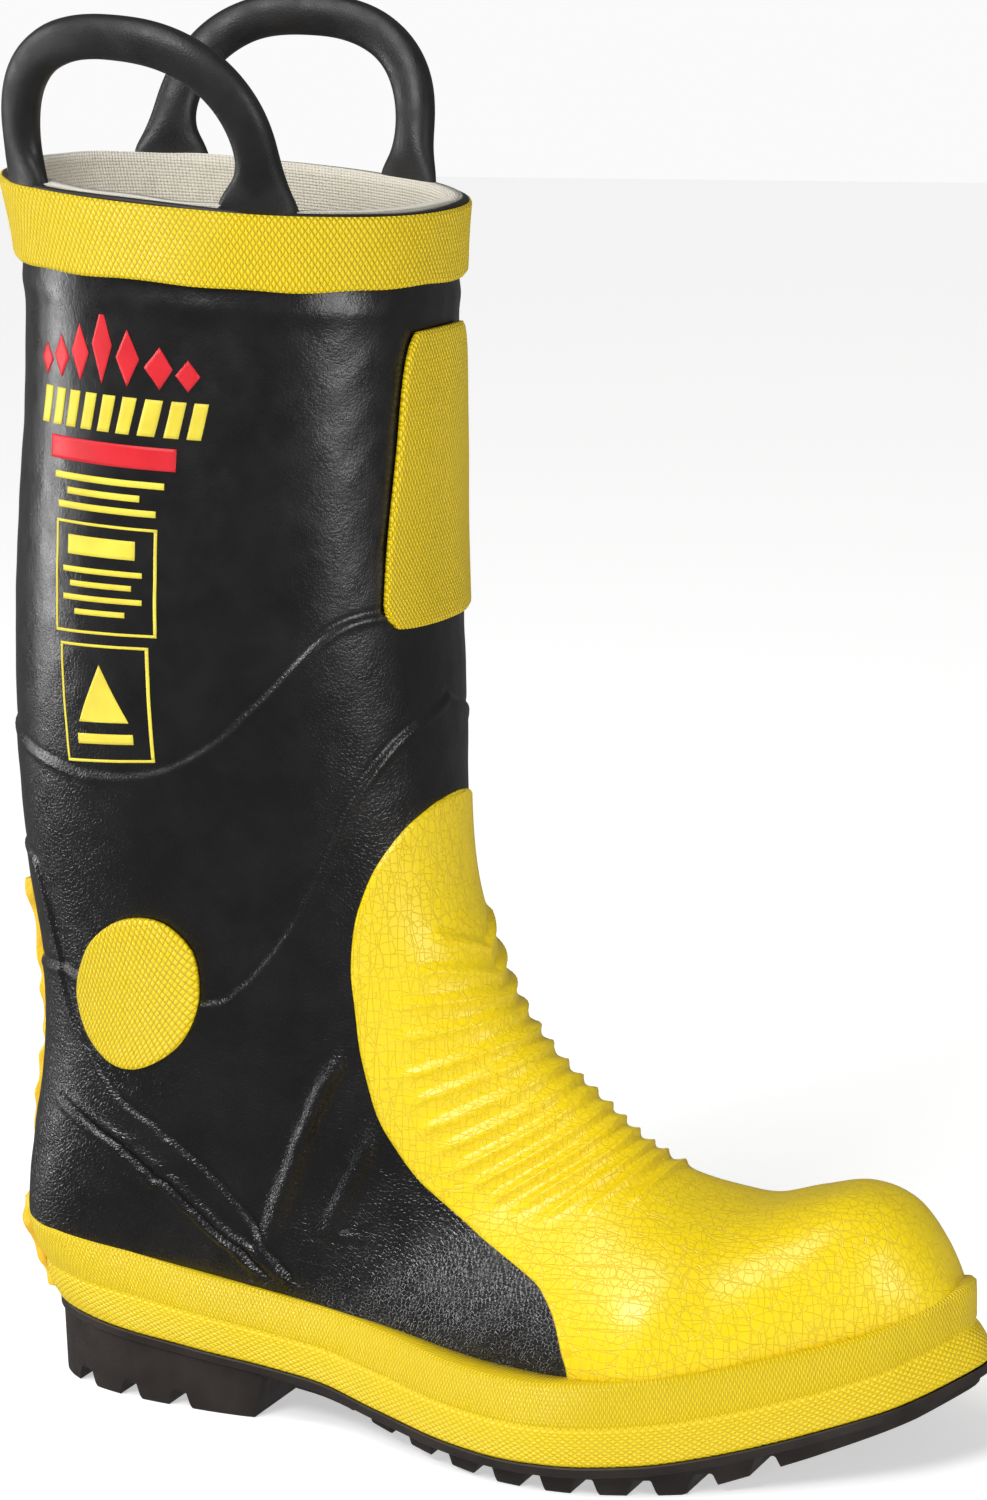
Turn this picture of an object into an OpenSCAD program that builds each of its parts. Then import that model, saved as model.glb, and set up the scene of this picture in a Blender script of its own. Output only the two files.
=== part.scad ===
// Fire boot, right foot: rubber leg boot with a steel toe cap, a steel midsole and two pull loops.
// +X points to the toe, +Y to the inner side of the foot, +Z up. The boot stands on z = 0.

/* [Size] */
// Length of the outsole, heel to toe
sole_length = 292; // [270:1:320]
// Width of the sole across the ball of the foot
ball_width = 116; // [108:1:126]
// Height of the rim at the back of the leg
leg_height = 364; // [340:1:390]

/* [Rubber and layers] */
// Thickness of the black rubber upper
upper_thickness = 2.5; // [2:0.1:3]
// Thickness of a rubber overlay, such as the toe guard
overlay_thickness = 1.2; // [1:0.1:1.8]
// Thickness of the insulating layer round the foot
insulation_thickness = 2.0; // [1.5:0.1:2.2]
// Thickness of the canvas lining
lining_thickness = 1.2; // [1:0.1:1.4]
// Thickness of the steel toe cap
toe_cap_thickness = 1.6; // [1.4:0.1:1.8]

/* [Sole] */
// Thickness of the steel midsole plate
plate_thickness = 0.9; // [0.6:0.1:1]
// Thickness of the insole board
board_thickness = 2; // [1.6:0.1:2.1]
// Thickness of the removable footbed
footbed_thickness = 4; // [3:0.5:5]
// Depth of the grooves between the tread lugs
tread_depth = 4.6; // [3:0.2:5]

/* [Pull loops] */
// Height of a loop's centre line over its pivot
loop_rise = 36; // [30:1:46]
// How far a loop leans outwards at its top
loop_lean = 14; // [6:1:20]
// Half width of the loop's rubber, in the plane of the loop
loop_half_width = 6.2; // [5:0.2:7]
// Half thickness of the loop's rubber, out of that plane
loop_half_thickness = 4.3; // [3.5:0.1:4.8]

/* [Hidden] */

base_length = 292;
base_width = 116;
base_height = 364;
shift_x = 5;
kx = sole_length / base_length;
ky = ball_width / base_width;
ankle_z = 80;
black = [0.07, 0.065, 0.07];
yellow = [0.95, 0.80, 0.05];
steel = [0.62, 0.64, 0.66];

// Sections of the rubber upper, from the rim to the toe. Each lies in a plane through a front or top
// point and a back or bottom point, and holds: front x, front z, back x, back z, y of the ridge,
// half width outside, half width inside, place of the widest point, roundness above, roundness below.
sections = [
    [ -9.5, 352, -143,   364, 0, 57, 57,  0,    2.2, 2.2],
    [-11.5, 332, -139,   341, 0, 56, 56,  0,    2.2, 2.2],
    [-12.5, 300, -140,   307, 0, 56, 56,  0,    2.2, 2.2],
    [-13.5, 262, -144.5, 266, 0, 56, 56,  0,    2.2, 2.2],
    [-13.2, 232, -148,   230, 0, 55, 55,  0,    2.2, 2.2],
    [-12.8, 204, -149.5, 194, 0, 52, 52,  0,    2.2, 2.2],
    [-12.4, 178, -148.5, 160, 0, 47, 47,  0,    2.2, 2.2],
    [-10,   156, -145,   128, 0, 42, 42,  0,    2.2, 2.3],
    [ -4,   138, -146,   100, 0, 39, 39, -0.05, 2.2, 2.4],
    [  5,   120, -150,    72, 0, 37, 36, -0.2,  2.2, 2.7],
    [ 17.5, 105, -150,    46, 0, 35, 34, -0.35, 2.2, 3.4],
    [ 31,  93.8, -132,    30, 0, 33, 31, -0.45, 2.2, 4.5],
    [ 43,    84,  -70,  24.5, 0, 33.5, 29, -0.5, 2.2, 6],
    [ 56,    76,    0,  17.2, 0, 46, 35, -0.6,  2.2, 6],
    [ 68,  71.2,   52,  15.8, 2, 54, 43, -0.7,  2.2, 6],
    [ 80,  69.6,   77,    18, 4, 48, 42, -0.7,  2.2, 6],
    [ 94,    73,   93,  20.5, 5, 40, 40, -0.65, 2.3, 6],
    [108,    76,  107,  23.6, 5, 31, 35, -0.6,  2.4, 5],
    [120,  72.8,  119,    27, 6, 24, 28, -0.5,  2.4, 4],
    [129,    63,  128,  29.7, 7, 17, 20, -0.3,  2.3, 3],
    [135,    51, 134.5,   33, 8, 10, 12, -0.1,  2.2, 2.4],
    [138.5,  43, 138.5,   41, 9,  1,  1,  0,    2,   2]];
last = len(sections) - 1;

// The sole seen from above. Each row holds a point of the foxing's lower edge, then the matching
// point of its upper edge, which overhangs at the heel and stands back everywhere else.
outline = [
    [-146,   0,   -154.5,   0],   [-142, -15.5,  -150.5, -17],   [-132, -26.5, -139, -27.5],
    [-112, -34.5, -115,   -33.8], [-85,  -38,     -86,   -36.5], [-60,  -38.7,  -60, -36],
    [-40,  -41.2,  -39.5, -37.5], [-20,  -49,     -18.5, -44.2], [3,    -58,      4, -53.2],
    [25,   -63.2,   25,   -58.4], [46,   -63.5,    45,   -58.6], [66,   -58,     64, -53.5],
    [88,   -47.5,   85.5, -43.4], [108,  -36,     105,   -32.2], [128,  -21.5,  124.2, -18.6],
    [141,   -3,    136.4,  -1.4], [145.5, 10,     140.7,  10],   [141,   24,    136.8, 21.8],
    [128,   36,    124.8,  32.4], [108,   46.5,   106,    42.1], [84,    53,     83.2, 48.3],
    [60,    52.5,   60.4,  47.8], [36,    47.5,    37.2,  42.8], [10,    39,     11,   34.6],
    [-16,   33,    -15.8,  29.4], [-44,   32.5,   -44.2,  30],   [-74,   36,    -74.4, 34.2],
    [-104,  35.5, -106,    35],   [-128,  28,    -134,    29.2], [-141,  15.5, -149.6, 17]];

// Heights along the sole: top of the outsole, foxing's upper edge, and the walking surface.
sole_top = [[-160, 26], [-121, 22.3], [-90, 20], [-61, 17], [-41, 15], [-30, 13.3], [-8, 11.2],
            [3, 10], [25, 8.7], [46, 9], [70, 10.2], [88, 12.9], [107, 17], [131, 23], [150, 30]];
foxing_top = [[-160, 52.5], [-125, 48.5], [-106, 45.8], [-85, 42.7], [-56, 38.2], [-36, 36],
              [-22, 34.8], [-2, 32.6], [14, 31.3], [35, 31], [46, 31.7], [62, 32.9], [79, 34.8],
              [96, 38], [114, 41.3], [127, 44.8], [145, 53]];
tread_line = [[-160, 9], [-146, 5], [-139, 0], [-66, 0], [-62, 14.4], [-54, 13.6], [-52, 10.6],
              [-34, 8], [-20, 5.5], [-7, 3.5], [8, 1.5], [22, 0.2], [35, 0], [75, 0], [88, 3.6],
              [107, 9], [131, 16.6], [150, 24.6]];
upper_clearance = 6.5;

// ---- Curves ----
function spline(a, b, c, d, t) =
    0.5 * (2 * b + (c - a) * t + (2 * a - 5 * b + 4 * c - d) * t * t + (3 * b - a - 3 * c + d) * t * t * t);
function height_at(line, x, i = 0) =
    i >= len(line) - 2 || x < line[i + 1][0]
        ? line[i][1] + (line[i + 1][1] - line[i][1]) * (x - line[i][0]) / (line[i + 1][0] - line[i][0])
        : height_at(line, x, i + 1);
function power(value, exponent) = abs(value) < 1e-9 ? 0 : pow(abs(value), exponent);
function unit(v) = v / norm(v);
// Heights over the ankle follow the leg's height, and the foot's own heights stay.
function stretch_z(z) =
    z <= ankle_z ? z : ankle_z + (z - ankle_z) * (leg_height - ankle_z) / (base_height - ankle_z);
function place(p) = [p[0] * kx + shift_x, p[1] * ky, stretch_z(p[2])];

// ---- Surface of the upper: v runs from the rim (0) to the toe, angle from the front round ----
function section_at(v) =
    let (i = min(floor(max(v, 0)), last - 1), t = max(v, 0) - i,
         a = sections[max(i - 1, 0)], b = sections[i], c = sections[i + 1], d = sections[min(i + 2, last)],
         before = i == 0 ? 2 * b - c : a, after = i == last - 1 ? 2 * c - b : d)
    spline(before, b, c, after, t);
function on_section(s, angle) =
    let (roundness = cos(angle) >= 0 ? s[8] : s[9],
         c = power(cos(angle), 2 / roundness), w = power(sin(angle), 2 / roundness),
         along = cos(angle) >= 0 ? s[7] + (1 - s[7]) * c : s[7] - (1 + s[7]) * c)
    place([(s[0] + s[2]) / 2 + (s[0] - s[2]) / 2 * along,
           s[4] + (sin(angle) >= 0 ? s[6] : -s[5]) * w,
           (s[1] + s[3]) / 2 + (s[1] - s[3]) / 2 * along]);
function skin(v, angle) = on_section(section_at(v), angle);
function skin_normal(v, angle) =
    v >= last - 0.01 ? [1, 0, 0]
        : let (e = 2, h = 0.05, v0 = max(v - h, 0), v1 = min(v + h, last))
          unit(cross(skin(v1, angle) - skin(v0, angle), skin(v, angle + e) - skin(v, angle - e)));
function offset_skin(v, angle, d) = skin(v, angle) + d * skin_normal(v, angle);

// ---- Solids from grids of points; outer and inner are rows of points, the same size ----
function quad(a, b, c, d) = [[a, b, c], [a, c, d]];
module thick_grid(outer, inner, wrap, tip = false) {
    rows = len(outer);
    cols = len(outer[0]);
    spans = wrap ? cols : cols - 1;
    n = rows * cols;
    function o(i, k) = i * cols + (k % cols);
    function m(i, k) = n + o(i, k);
    end = rows - 1;
    faces = [
        for (i = [0:rows - 2], k = [0:spans - 1]) each concat(
            quad(o(i, k), o(i, k + 1), o(i + 1, k + 1), o(i + 1, k)),
            quad(m(i, k), m(i + 1, k), m(i + 1, k + 1), m(i, k + 1))),
        for (k = [0:spans - 1]) each quad(o(0, k + 1), o(0, k), m(0, k), m(0, k + 1)),
        if (!tip) for (k = [0:spans - 1]) each quad(o(end, k), o(end, k + 1), m(end, k + 1), m(end, k)),
        if (!wrap) for (i = [0:rows - 2]) each concat(
            quad(o(i, 0), o(i + 1, 0), m(i + 1, 0), m(i, 0)),
            quad(o(i + 1, spans), o(i, spans), m(i, spans), m(i + 1, spans))),
        if (tip) [for (k = [0:cols - 1]) o(end, k)],
        if (tip) [for (k = [cols - 1:-1:0]) m(end, k)]];
    polyhedron(points = concat([for (r = outer) each r], [for (r = inner) each r]), faces = faces);
}

around = 24;
whole = [0, 1, 2, 3, 4, 5, 6, 6.5, 7, 7.5, 8, 8.5, 9, 9.5, 10, 10.5, 11, 11.5, 12, 12.5, 13, 13.5,
         14, 14.5, 15, 16, 17, 18, 19, 20, 21];
function rows_between(a, b) = concat([a], [for (v = whole) if (v > a + 0.1 && v < b - 0.1) v], [b]);
function ring(v, depth, rise = 0) =
    [for (k = [0:around - 1]) offset_skin(v, k * 360 / around, depth) + [0, 0, rise]];
// A layer that goes all the way round, between two depths; a tip closes it at the toe.
module layer(rows, outer_depth, inner_depth, tip = false) {
    thick_grid([for (v = rows) ring(v, outer_depth)], [for (v = rows) ring(v, inner_depth)], true, tip);
}
// A piece of a layer: each row is [v, first angle, last angle].
module patch(rows, columns, outer_depth, inner_depth) {
    function angle(r, k) = r[1] + (r[2] - r[1]) * k / columns;
    thick_grid([for (r = rows) [for (k = [0:columns]) offset_skin(r[0], angle(r, k), outer_depth)]],
               [for (r = rows) [for (k = [0:columns]) offset_skin(r[0], angle(r, k), inner_depth)]], false);
}
// The solid inside the upper's surface, from section v0 to the toe.
module core(v0, depth) {
    rows = rows_between(v0, last);
    n = around;
    end = (len(rows) - 1) * n;
    function at(i, k) = i * n + k % n;
    polyhedron(points = [for (v = rows) each ring(v, depth)], faces = concat(
        [for (i = [0:len(rows) - 2], k = [0:n - 1])
            each quad(at(i, k), at(i, k + 1), at(i + 1, k + 1), at(i + 1, k))],
        [[for (k = [n - 1:-1:0]) k], [for (k = [0:n - 1]) end + k]]));
}

// ---- Sole outline and slabs: edge 0 is the foxing's lower edge and edge 2 its upper edge ----
outline_steps = 2;
function outline_point(place_on, edge) =
    let (n = len(outline), i = floor(place_on), t = place_on - i,
         a = outline[(i + n - 1) % n], b = outline[(i + n) % n],
         c = outline[(i + n + 1) % n], d = outline[(i + n + 2) % n], s = spline(a, b, c, d, t))
    [s[edge] * kx + shift_x, s[edge + 1] * ky];
function outline_curve(edge = 0) =
    [for (i = [0:1 / outline_steps:len(outline) - 0.01]) outline_point(i, edge)];
function inset(curve, d) =
    let (n = len(curve))
    [for (i = [0:n - 1])
        let (along = unit(curve[(i + 1) % n] - curve[(i + n - 1) % n])) curve[i] + d * [-along[1], along[0]]];
function sole_x(x) = (x - shift_x) / kx;
function top_z(x) = height_at(sole_top, sole_x(x));
module sole_prism(d) {
    translate([0, 0, -5]) linear_extrude(height = 80) polygon(inset(outline_curve(), d));
}
function run(line, step, x0, x1) =
    [for (p = concat([[x0, height_at(line, x0)]], [for (q = line) if (q[0] > x0 && q[0] < x1) q],
                     [[x1, height_at(line, x1)]])) [p[0] * kx + shift_x, p[1] + step]];
// Everything between two height lines, each moved up by a step, from x0 to x1.
module slab(low, low_step, high, high_step, x0 = -158, x1 = 149) {
    top = run(high, high_step, x0, x1);
    rotate([90, 0, 0]) linear_extrude(height = 160, center = true)
        polygon(concat(run(low, low_step, x0, x1), [for (i = [len(top) - 1:-1:0]) top[i]]));
}

// ---- Sole ----
flange_thickness = 3;
lug_inset = 4;
groove_width = 4.6;
groove_taper = 1.4;
heel_grooves = [-127, -109, -91];
forefoot_grooves = [-28, -12.5, 3, 18.5, 34, 49.5, 65];
filler_at = [-131, -18, 7.5];
filler_size = [52, 36, 7.5];
fit = 0.1;
module groove(x) {
    z = height_at(tread_line, x);
    translate([x * kx + shift_x, 0, z - 1]) rotate([90, 0, 0]) linear_extrude(height = 150, center = true)
        polygon([[-groove_width / 2 - groove_taper, 0], [groove_width / 2 + groove_taper, 0],
                 [groove_width / 2, tread_depth + 1], [-groove_width / 2, tread_depth + 1]]);
}
module outsole() {
    color([0.09, 0.075, 0.07]) difference() {
        union() {
            intersection() {
                sole_prism(0);
                slab(sole_top, -flange_thickness, sole_top, 0);
            }
            intersection() {
                sole_prism(lug_inset);
                slab(tread_line, 0, sole_top, -flange_thickness / 2);
            }
        }
        for (x = concat(heel_grooves, forefoot_grooves)) groove(x);
        translate([filler_at[0] * kx + shift_x, filler_at[1], filler_at[2]] - [fit, fit, fit])
            cube(filler_size + 2 * [fit, fit, fit]);
    }
}
module heel_filler() {
    color([0.75, 0.6, 0.4]) translate([filler_at[0] * kx + shift_x, filler_at[1], filler_at[2]])
        cube(filler_size);
}
module sole_layer(d, low, high) {
    intersection() {
        sole_prism(d);
        slab(sole_top, low, sole_top, high);
    }
}
sheet_top = 2.2;
plate_bottom = sheet_top + 0.2;
board_bottom = plate_bottom + plate_thickness + 0.2;
shank_from = [-95, 1.1];
shank_to = [0, 2.4];
shank_width = 18;
module shank_slab(clear) {
    intersection() {
        slab(sole_top, shank_from[1] - clear, sole_top, shank_to[1] + clear,
             shank_from[0] - clear, shank_to[0] + clear);
        translate([-150, -shank_width / 2 - clear, 0]) cube([300, shank_width + 2 * clear, 60]);
    }
}
module midsole_sheet() {
    color([0.15, 0.14, 0.14]) difference() {
        sole_layer(8.4, fit, sheet_top);
        shank_slab(0.2);
    }
}
module shank() {
    color(steel) shank_slab(0);
}
module steel_midsole() {
    color(steel) sole_layer(9.4, plate_bottom, plate_bottom + plate_thickness);
}
module insole_board() {
    color([0.7, 0.55, 0.38]) sole_layer(8.8, board_bottom, board_bottom + board_thickness - 0.1);
}
footbed_inset = 28;
footbed_bottom = 14;
toe_edge = [115, 9];
toe_edge_length = 16;
module footbed() {
    bead = footbed_thickness / 2;
    color([0.25, 0.27, 0.32]) union() {
        intersection() {
            linear_extrude(height = 60) offset(delta = -footbed_inset) polygon(outline_curve());
            slab(sole_top, footbed_bottom, sole_top, footbed_bottom + footbed_thickness);
        }
        translate([toe_edge[0] * kx + shift_x, toe_edge[1],
                   height_at(sole_top, toe_edge[0]) + footbed_bottom + bead])
            rotate([90, 0, 0]) cylinder(r = bead, h = toe_edge_length, center = true, $fn = 32);
    }
}

// ---- Upper and what is inside it ----
wall_gap = 0.2;
insulation_depth = upper_thickness + wall_gap;
lining_depth = insulation_depth + insulation_thickness + wall_gap;
bumper_start = 14;
cap_start = 14.5;
cap_end = 20;
module upper() {
    color(black) layer(whole, 0, -upper_thickness, tip = true);
}
module insulation_layer() {
    color([0.8, 0.76, 0.66]) layer(rows_between(0, bumper_start), -insulation_depth,
                                   -insulation_depth - insulation_thickness);
}
module toe_cap_bumper() {
    color([0.2, 0.2, 0.2]) layer([bumper_start, cap_start], -insulation_depth,
                                 -insulation_depth - insulation_thickness);
}
module steel_toe_cap() {
    color(steel) layer(rows_between(cap_start, cap_end), -insulation_depth,
                       -insulation_depth - toe_cap_thickness, tip = true);
}
module lining() {
    color([0.87, 0.82, 0.7]) layer(rows_between(0, cap_end), -lining_depth, -lining_depth - lining_thickness,
                                   tip = true);
}

// ---- Yellow and black overlays on the upper ----
skin_gap = 0.3;
lap_gap = 0.8;
guard_start = 6;
// Half the width of the toe guard, as an angle, until it reaches the foxing.
guard_edge = [[5.8, 12], [6.3, 36], [6.7, 43], [7.1, 48], [7.74, 52], [10.5, 53], [11.26, 55], [12.07, 60],
              [12.67, 62], [12.93, 64], [13.22, 70], [13.64, 86], [14, 100]];
guard_lap = 13.5;
guard_end = 19.7;
// The angle where a section comes down to the top of the foxing, found by halving.
function foxing_angle(v, side, gap, low = 0, high = 150, n = 10) =
    n == 0 ? low
        : let (middle = (low + high) / 2, p = skin(v, side * middle))
          p[2] > height_at(foxing_top, sole_x(p[0])) + gap
              ? foxing_angle(v, side, gap, middle, high, n - 1)
              : foxing_angle(v, side, gap, low, middle, n - 1);
function guard_angle(v, side) =
    v <= guard_lap ? min(height_at(guard_edge, v), foxing_angle(v, side, 1.5)) : foxing_angle(v, side, 1.5);
module toe_guard() {
    rows = rows_between(guard_start, guard_end);
    color(yellow) patch([for (v = rows) [v, -guard_angle(v, -1), guard_angle(v, 1)]], 12,
                        lap_gap + overlay_thickness, lap_gap);
}
pad_thickness = 1.9;
module shin_pad() {
    color(yellow) patch([[1.43, -12, 12], [1.6, -17, 17], [2, -20, 20], [3, -24.5, 24.5], [3.6, -27, 27],
                         [3.85, -22, 22]], 6, pad_thickness, skin_gap);
}
disc_rows = [[6.6, 96, 108], [7, 90, 121], [7.5, 89, 126], [8, 91, 119], [8.3, 96, 108]];
disc_thickness = 1.7;
module outer_ankle_disc() {
    color(yellow) patch([for (r = disc_rows) [r[0], -r[2], -r[1]]], 6, disc_thickness, skin_gap);
}
module inner_ankle_disc() {
    color(yellow) patch(disc_rows, 6, disc_thickness, skin_gap);
}
counter_thickness = 0.9;
// Where the heel counter's front edge runs, as an angle from the front.
counter_edge = [[6.3, 139], [7.06, 135], [7.69, 128], [8.1, 124], [8.5, 112], [8.9, 99], [9.4, 90],
                [9.6, 88]];
module heel_counter() {
    rows = rows_between(6.5, 9.5);
    color(black) patch([for (v = rows) let (a = height_at(counter_edge, v)) [v, a, 360 - a]], 14,
                       lap_gap + counter_thickness, lap_gap);
}
// Upper and lower edges of the ankle panel, each as v against the angle from the front.
panel_top = [[0, 4.1], [39, 4.1], [64, 4.5], [74, 4.8], [94, 5.1], [125, 5], [180, 4.75]];
panel_bottom = [[0, 4.8], [24, 5], [40, 5.45], [60, 6.1], [90, 6.3], [140, 6.1], [180, 6.1]];
panel_low = 0.3;
panel_high = 1.1;
module ankle_panel() {
    steps = 4;
    function edge_v(k, j) =
        let (a = abs(k * 360 / around > 180 ? 360 - k * 360 / around : k * 360 / around),
             v0 = height_at(panel_top, a), v1 = height_at(panel_bottom, a)) v0 + (v1 - v0) * j / steps;
    function panel_ring(j, depth) =
        [for (k = [0:around - 1]) offset_skin(edge_v(k, j), k * 360 / around, depth)];
    color(black) thick_grid([for (j = [0:steps]) panel_ring(j, panel_high)],
                            [for (j = [0:steps]) panel_ring(j, panel_low)], true);
}
band_thickness = 1.5;
module top_band() {
    color(yellow) layer([0, 1], band_thickness, skin_gap);
}
tape_bottom = 0.1;
tape_top = 1.2;
module rim_tape() {
    inside = -lining_depth - lining_thickness;
    color([0.1, 0.1, 0.1])
        thick_grid([ring(0, band_thickness, tape_top), ring(0, band_thickness, tape_bottom)],
                   [ring(0, inside, tape_top), ring(0, inside, tape_bottom)], true);
}
// The strip down the back: rows on the heel counter, then rows on the outside of the foxing.
strip_angle = 27;
strip_reach = 1.1;
strip_columns = 6;
strip_thickness = 1.4;
module heel_strip() {
    function on_upper(v, depth) =
        [for (k = [0:strip_columns]) offset_skin(v, 180 - strip_angle * (1 - 2 * k / strip_columns), depth)];
    function on_foxing(edge, rise, out) =
        [for (k = [0:strip_columns])
            let (s = strip_reach * (1 - 2 * k / strip_columns),
                 low = outline_point(s, 0), high = outline_point(s, 2),
                 p = low * edge + high * (1 - edge), line = edge == 0 ? foxing_top : sole_top)
            [p[0] - out, p[1], height_at(line, sole_x(p[0])) + rise]];
    inner = lap_gap + counter_thickness + skin_gap;
    outer = inner + strip_thickness;
    color(yellow) thick_grid(
        concat([for (v = [6.5:0.5:9]) on_upper(v, outer)],
               [on_foxing(0, 2.6, 0.4 + strip_thickness), on_foxing(0, -1, 0.4 + strip_thickness),
                on_foxing(1, 4, 0.4 + strip_thickness)]),
        concat([for (v = [6.5:0.5:9]) on_upper(v, inner)],
               [on_foxing(0, 0.8, 0.2), on_foxing(0, -1, 0.3), on_foxing(1, 4, 0.3)]), false);
}
// The rubber strip round the side of the sole, made in short lengths round the outline.
foxing_depth = 11;
module foxing_length(i) {
    count = len(outline) * outline_steps;
    low = outline_curve(0);
    high = outline_curve(2);
    inner_low = inset(low, foxing_depth);
    function post(k) =
        let (a = low[k], b = high[k], c = inner_low[k],
             z0 = top_z(a[0]) + fit, z1 = height_at(foxing_top, sole_x(b[0])))
        [[a[0], a[1], z0], [b[0], b[1], z1], [c[0], c[1], z1], [c[0], c[1], z0]];
    j = (i + 1) % count;
    hull() polyhedron(points = concat(post(i), post(j)), faces = [
        [3, 2, 1, 0], [4, 5, 6, 7], [0, 1, 5, 4], [1, 2, 6, 5], [2, 3, 7, 6], [3, 0, 4, 7]]);
}
module foxing_band() {
    color(yellow) difference() {
        for (i = [0:len(outline) * outline_steps - 1]) foxing_length(i);
        core(7, 0.3);
        intersection() {
            sole_prism(8);
            slab(sole_top, -2, sole_top, upper_clearance + 0.5);
        }
    }
}

// ---- Pull loops: side is -1 outside and 1 inside ----
back_foot = [-120, 44, 361.9];
front_foot = [-43, 48.6, 355];
axis_rise = 9.2;
knuckle_radius = 5.2;
knuckle_length = 13;
cup_gap = 0.4;
cup_wall = 1.6;
cup_floor = 7;
cup_lip = 0.6;
loop_roundness = 2.4;
loop_rings = 16;
loop_sides = 10;
loop_sink = 1.7;
function foot(end, side) =
    place([end[0], side * end[1], end[2]]) + [0, 0, axis_rise];
function axis_along(side) = unit(foot(front_foot, side) - foot(back_foot, side));
function axis_out(side) = side * unit(cross([0, 0, 1], axis_along(side)));
function axis_up(side) = side * cross(axis_along(side), axis_out(side));
function loop_centre(side, t) =
    let (half = norm(foot(front_foot, side) - foot(back_foot, side)) / 2,
         middle = (foot(front_foot, side) + foot(back_foot, side)) / 2,
         c = power(cos(t), 2 / loop_roundness) * (t > 90 ? -1 : 1), s = power(sin(t), 2 / loop_roundness))
    middle + axis_along(side) * half * c + axis_up(side) * loop_rise * s
        + axis_out(side) * loop_lean * pow(s, 1.3);
module knuckle_shape(end, side, radius, length) {
    u = axis_along(side);
    translate(foot(end, side)) rotate([0, 90 - asin(u[2]), atan2(u[1], u[0])])
        cylinder(r = radius, h = length, center = true, $fn = 48);
}
module pull_loop(side) {
    function loop_ring(i) =
        let (t = 180 * i / loop_rings,
             p = loop_centre(side, t) - (i % loop_rings == 0 ? loop_sink : 0) * axis_up(side),
             before = loop_centre(side, max(t - 2, 0)), after = loop_centre(side, min(t + 2, 180)),
             forward = i == 0 ? axis_up(side) : i == loop_rings ? -axis_up(side) : unit(after - before),
             face = unit(axis_out(side) - forward * (axis_out(side) * forward)),
             wide = cross(forward, face))
        [for (k = [0:loop_sides - 1]) let (a = k * 360 / loop_sides)
            p + wide * loop_half_width * cos(a) + face * loop_half_thickness * sin(a)];
    n = loop_sides;
    end = loop_rings * n;
    function at(i, k) = i * n + k % n;
    union() {
        polyhedron(points = [for (i = [0:loop_rings]) each loop_ring(i)], faces = concat(
            [for (i = [0:loop_rings - 1], k = [0:n - 1])
                each quad(at(i, k), at(i, k + 1), at(i + 1, k + 1), at(i + 1, k))],
            [[for (k = [n - 1:-1:0]) k], [for (k = [0:n - 1]) end + k]]));
        knuckle_shape(back_foot, side, knuckle_radius, knuckle_length);
        knuckle_shape(front_foot, side, knuckle_radius, knuckle_length);
    }
}
module loop_anchor(end, side) {
    u = axis_along(side);
    half = knuckle_radius + cup_gap + cup_wall;
    difference() {
        translate(foot(end, side)) rotate([0, -asin(u[2]), atan2(u[1], u[0])])
            translate([-knuckle_length / 2 - 0.5, -half, -cup_floor])
                cube([knuckle_length + 1, 2 * half, cup_floor - cup_lip]);
        knuckle_shape(end, side, knuckle_radius + cup_gap, knuckle_length + 10);
    }
}
module outer_loop_anchors() {
    color([0.2, 0.2, 0.2]) union() {
        loop_anchor(back_foot, -1);
        loop_anchor(front_foot, -1);
    }
}
module inner_loop_anchors() {
    color([0.2, 0.2, 0.2]) union() {
        loop_anchor(back_foot, 1);
        loop_anchor(front_foot, 1);
    }
}
module outer_pull_loop() {
    color([0.25, 0.25, 0.25]) pull_loop(-1);
}
module inner_pull_loop() {
    color([0.25, 0.25, 0.25]) pull_loop(1);
}

outsole();
heel_filler();
midsole_sheet();
shank();
steel_midsole();
insole_board();
upper();
insulation_layer();
steel_toe_cap();
toe_cap_bumper();
lining();
footbed();
foxing_band();
toe_guard();
shin_pad();
outer_ankle_disc();
inner_ankle_disc();
heel_strip();
heel_counter();
ankle_panel();
top_band();
rim_tape();
outer_loop_anchors();
inner_loop_anchors();
outer_pull_loop();
inner_pull_loop();
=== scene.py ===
"""A rubber firefighting boot on a pale floor. Lengths in the tables are in millimetres."""
import math

import bpy
import numpy as np
from mathutils import Matrix, Vector


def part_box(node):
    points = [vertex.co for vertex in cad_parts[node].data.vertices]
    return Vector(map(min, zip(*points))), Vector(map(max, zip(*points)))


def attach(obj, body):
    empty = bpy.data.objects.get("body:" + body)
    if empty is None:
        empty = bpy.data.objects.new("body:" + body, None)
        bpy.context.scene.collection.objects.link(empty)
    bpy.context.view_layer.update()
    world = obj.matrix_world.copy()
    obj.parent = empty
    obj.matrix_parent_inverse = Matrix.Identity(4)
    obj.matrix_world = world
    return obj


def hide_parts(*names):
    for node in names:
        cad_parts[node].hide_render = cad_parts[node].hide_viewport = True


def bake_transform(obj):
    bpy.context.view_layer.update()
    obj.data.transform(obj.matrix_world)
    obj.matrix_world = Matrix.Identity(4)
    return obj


MM = 0.001
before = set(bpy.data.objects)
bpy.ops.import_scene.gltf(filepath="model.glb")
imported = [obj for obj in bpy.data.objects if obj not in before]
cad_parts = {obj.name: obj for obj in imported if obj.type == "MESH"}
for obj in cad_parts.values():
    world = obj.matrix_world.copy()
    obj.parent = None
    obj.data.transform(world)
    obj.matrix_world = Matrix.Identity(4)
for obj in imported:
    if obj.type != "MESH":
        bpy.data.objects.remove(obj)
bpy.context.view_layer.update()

# ---- The boot's driving sections, as in the CAD source ----
SHIFT_X = 5.0
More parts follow.
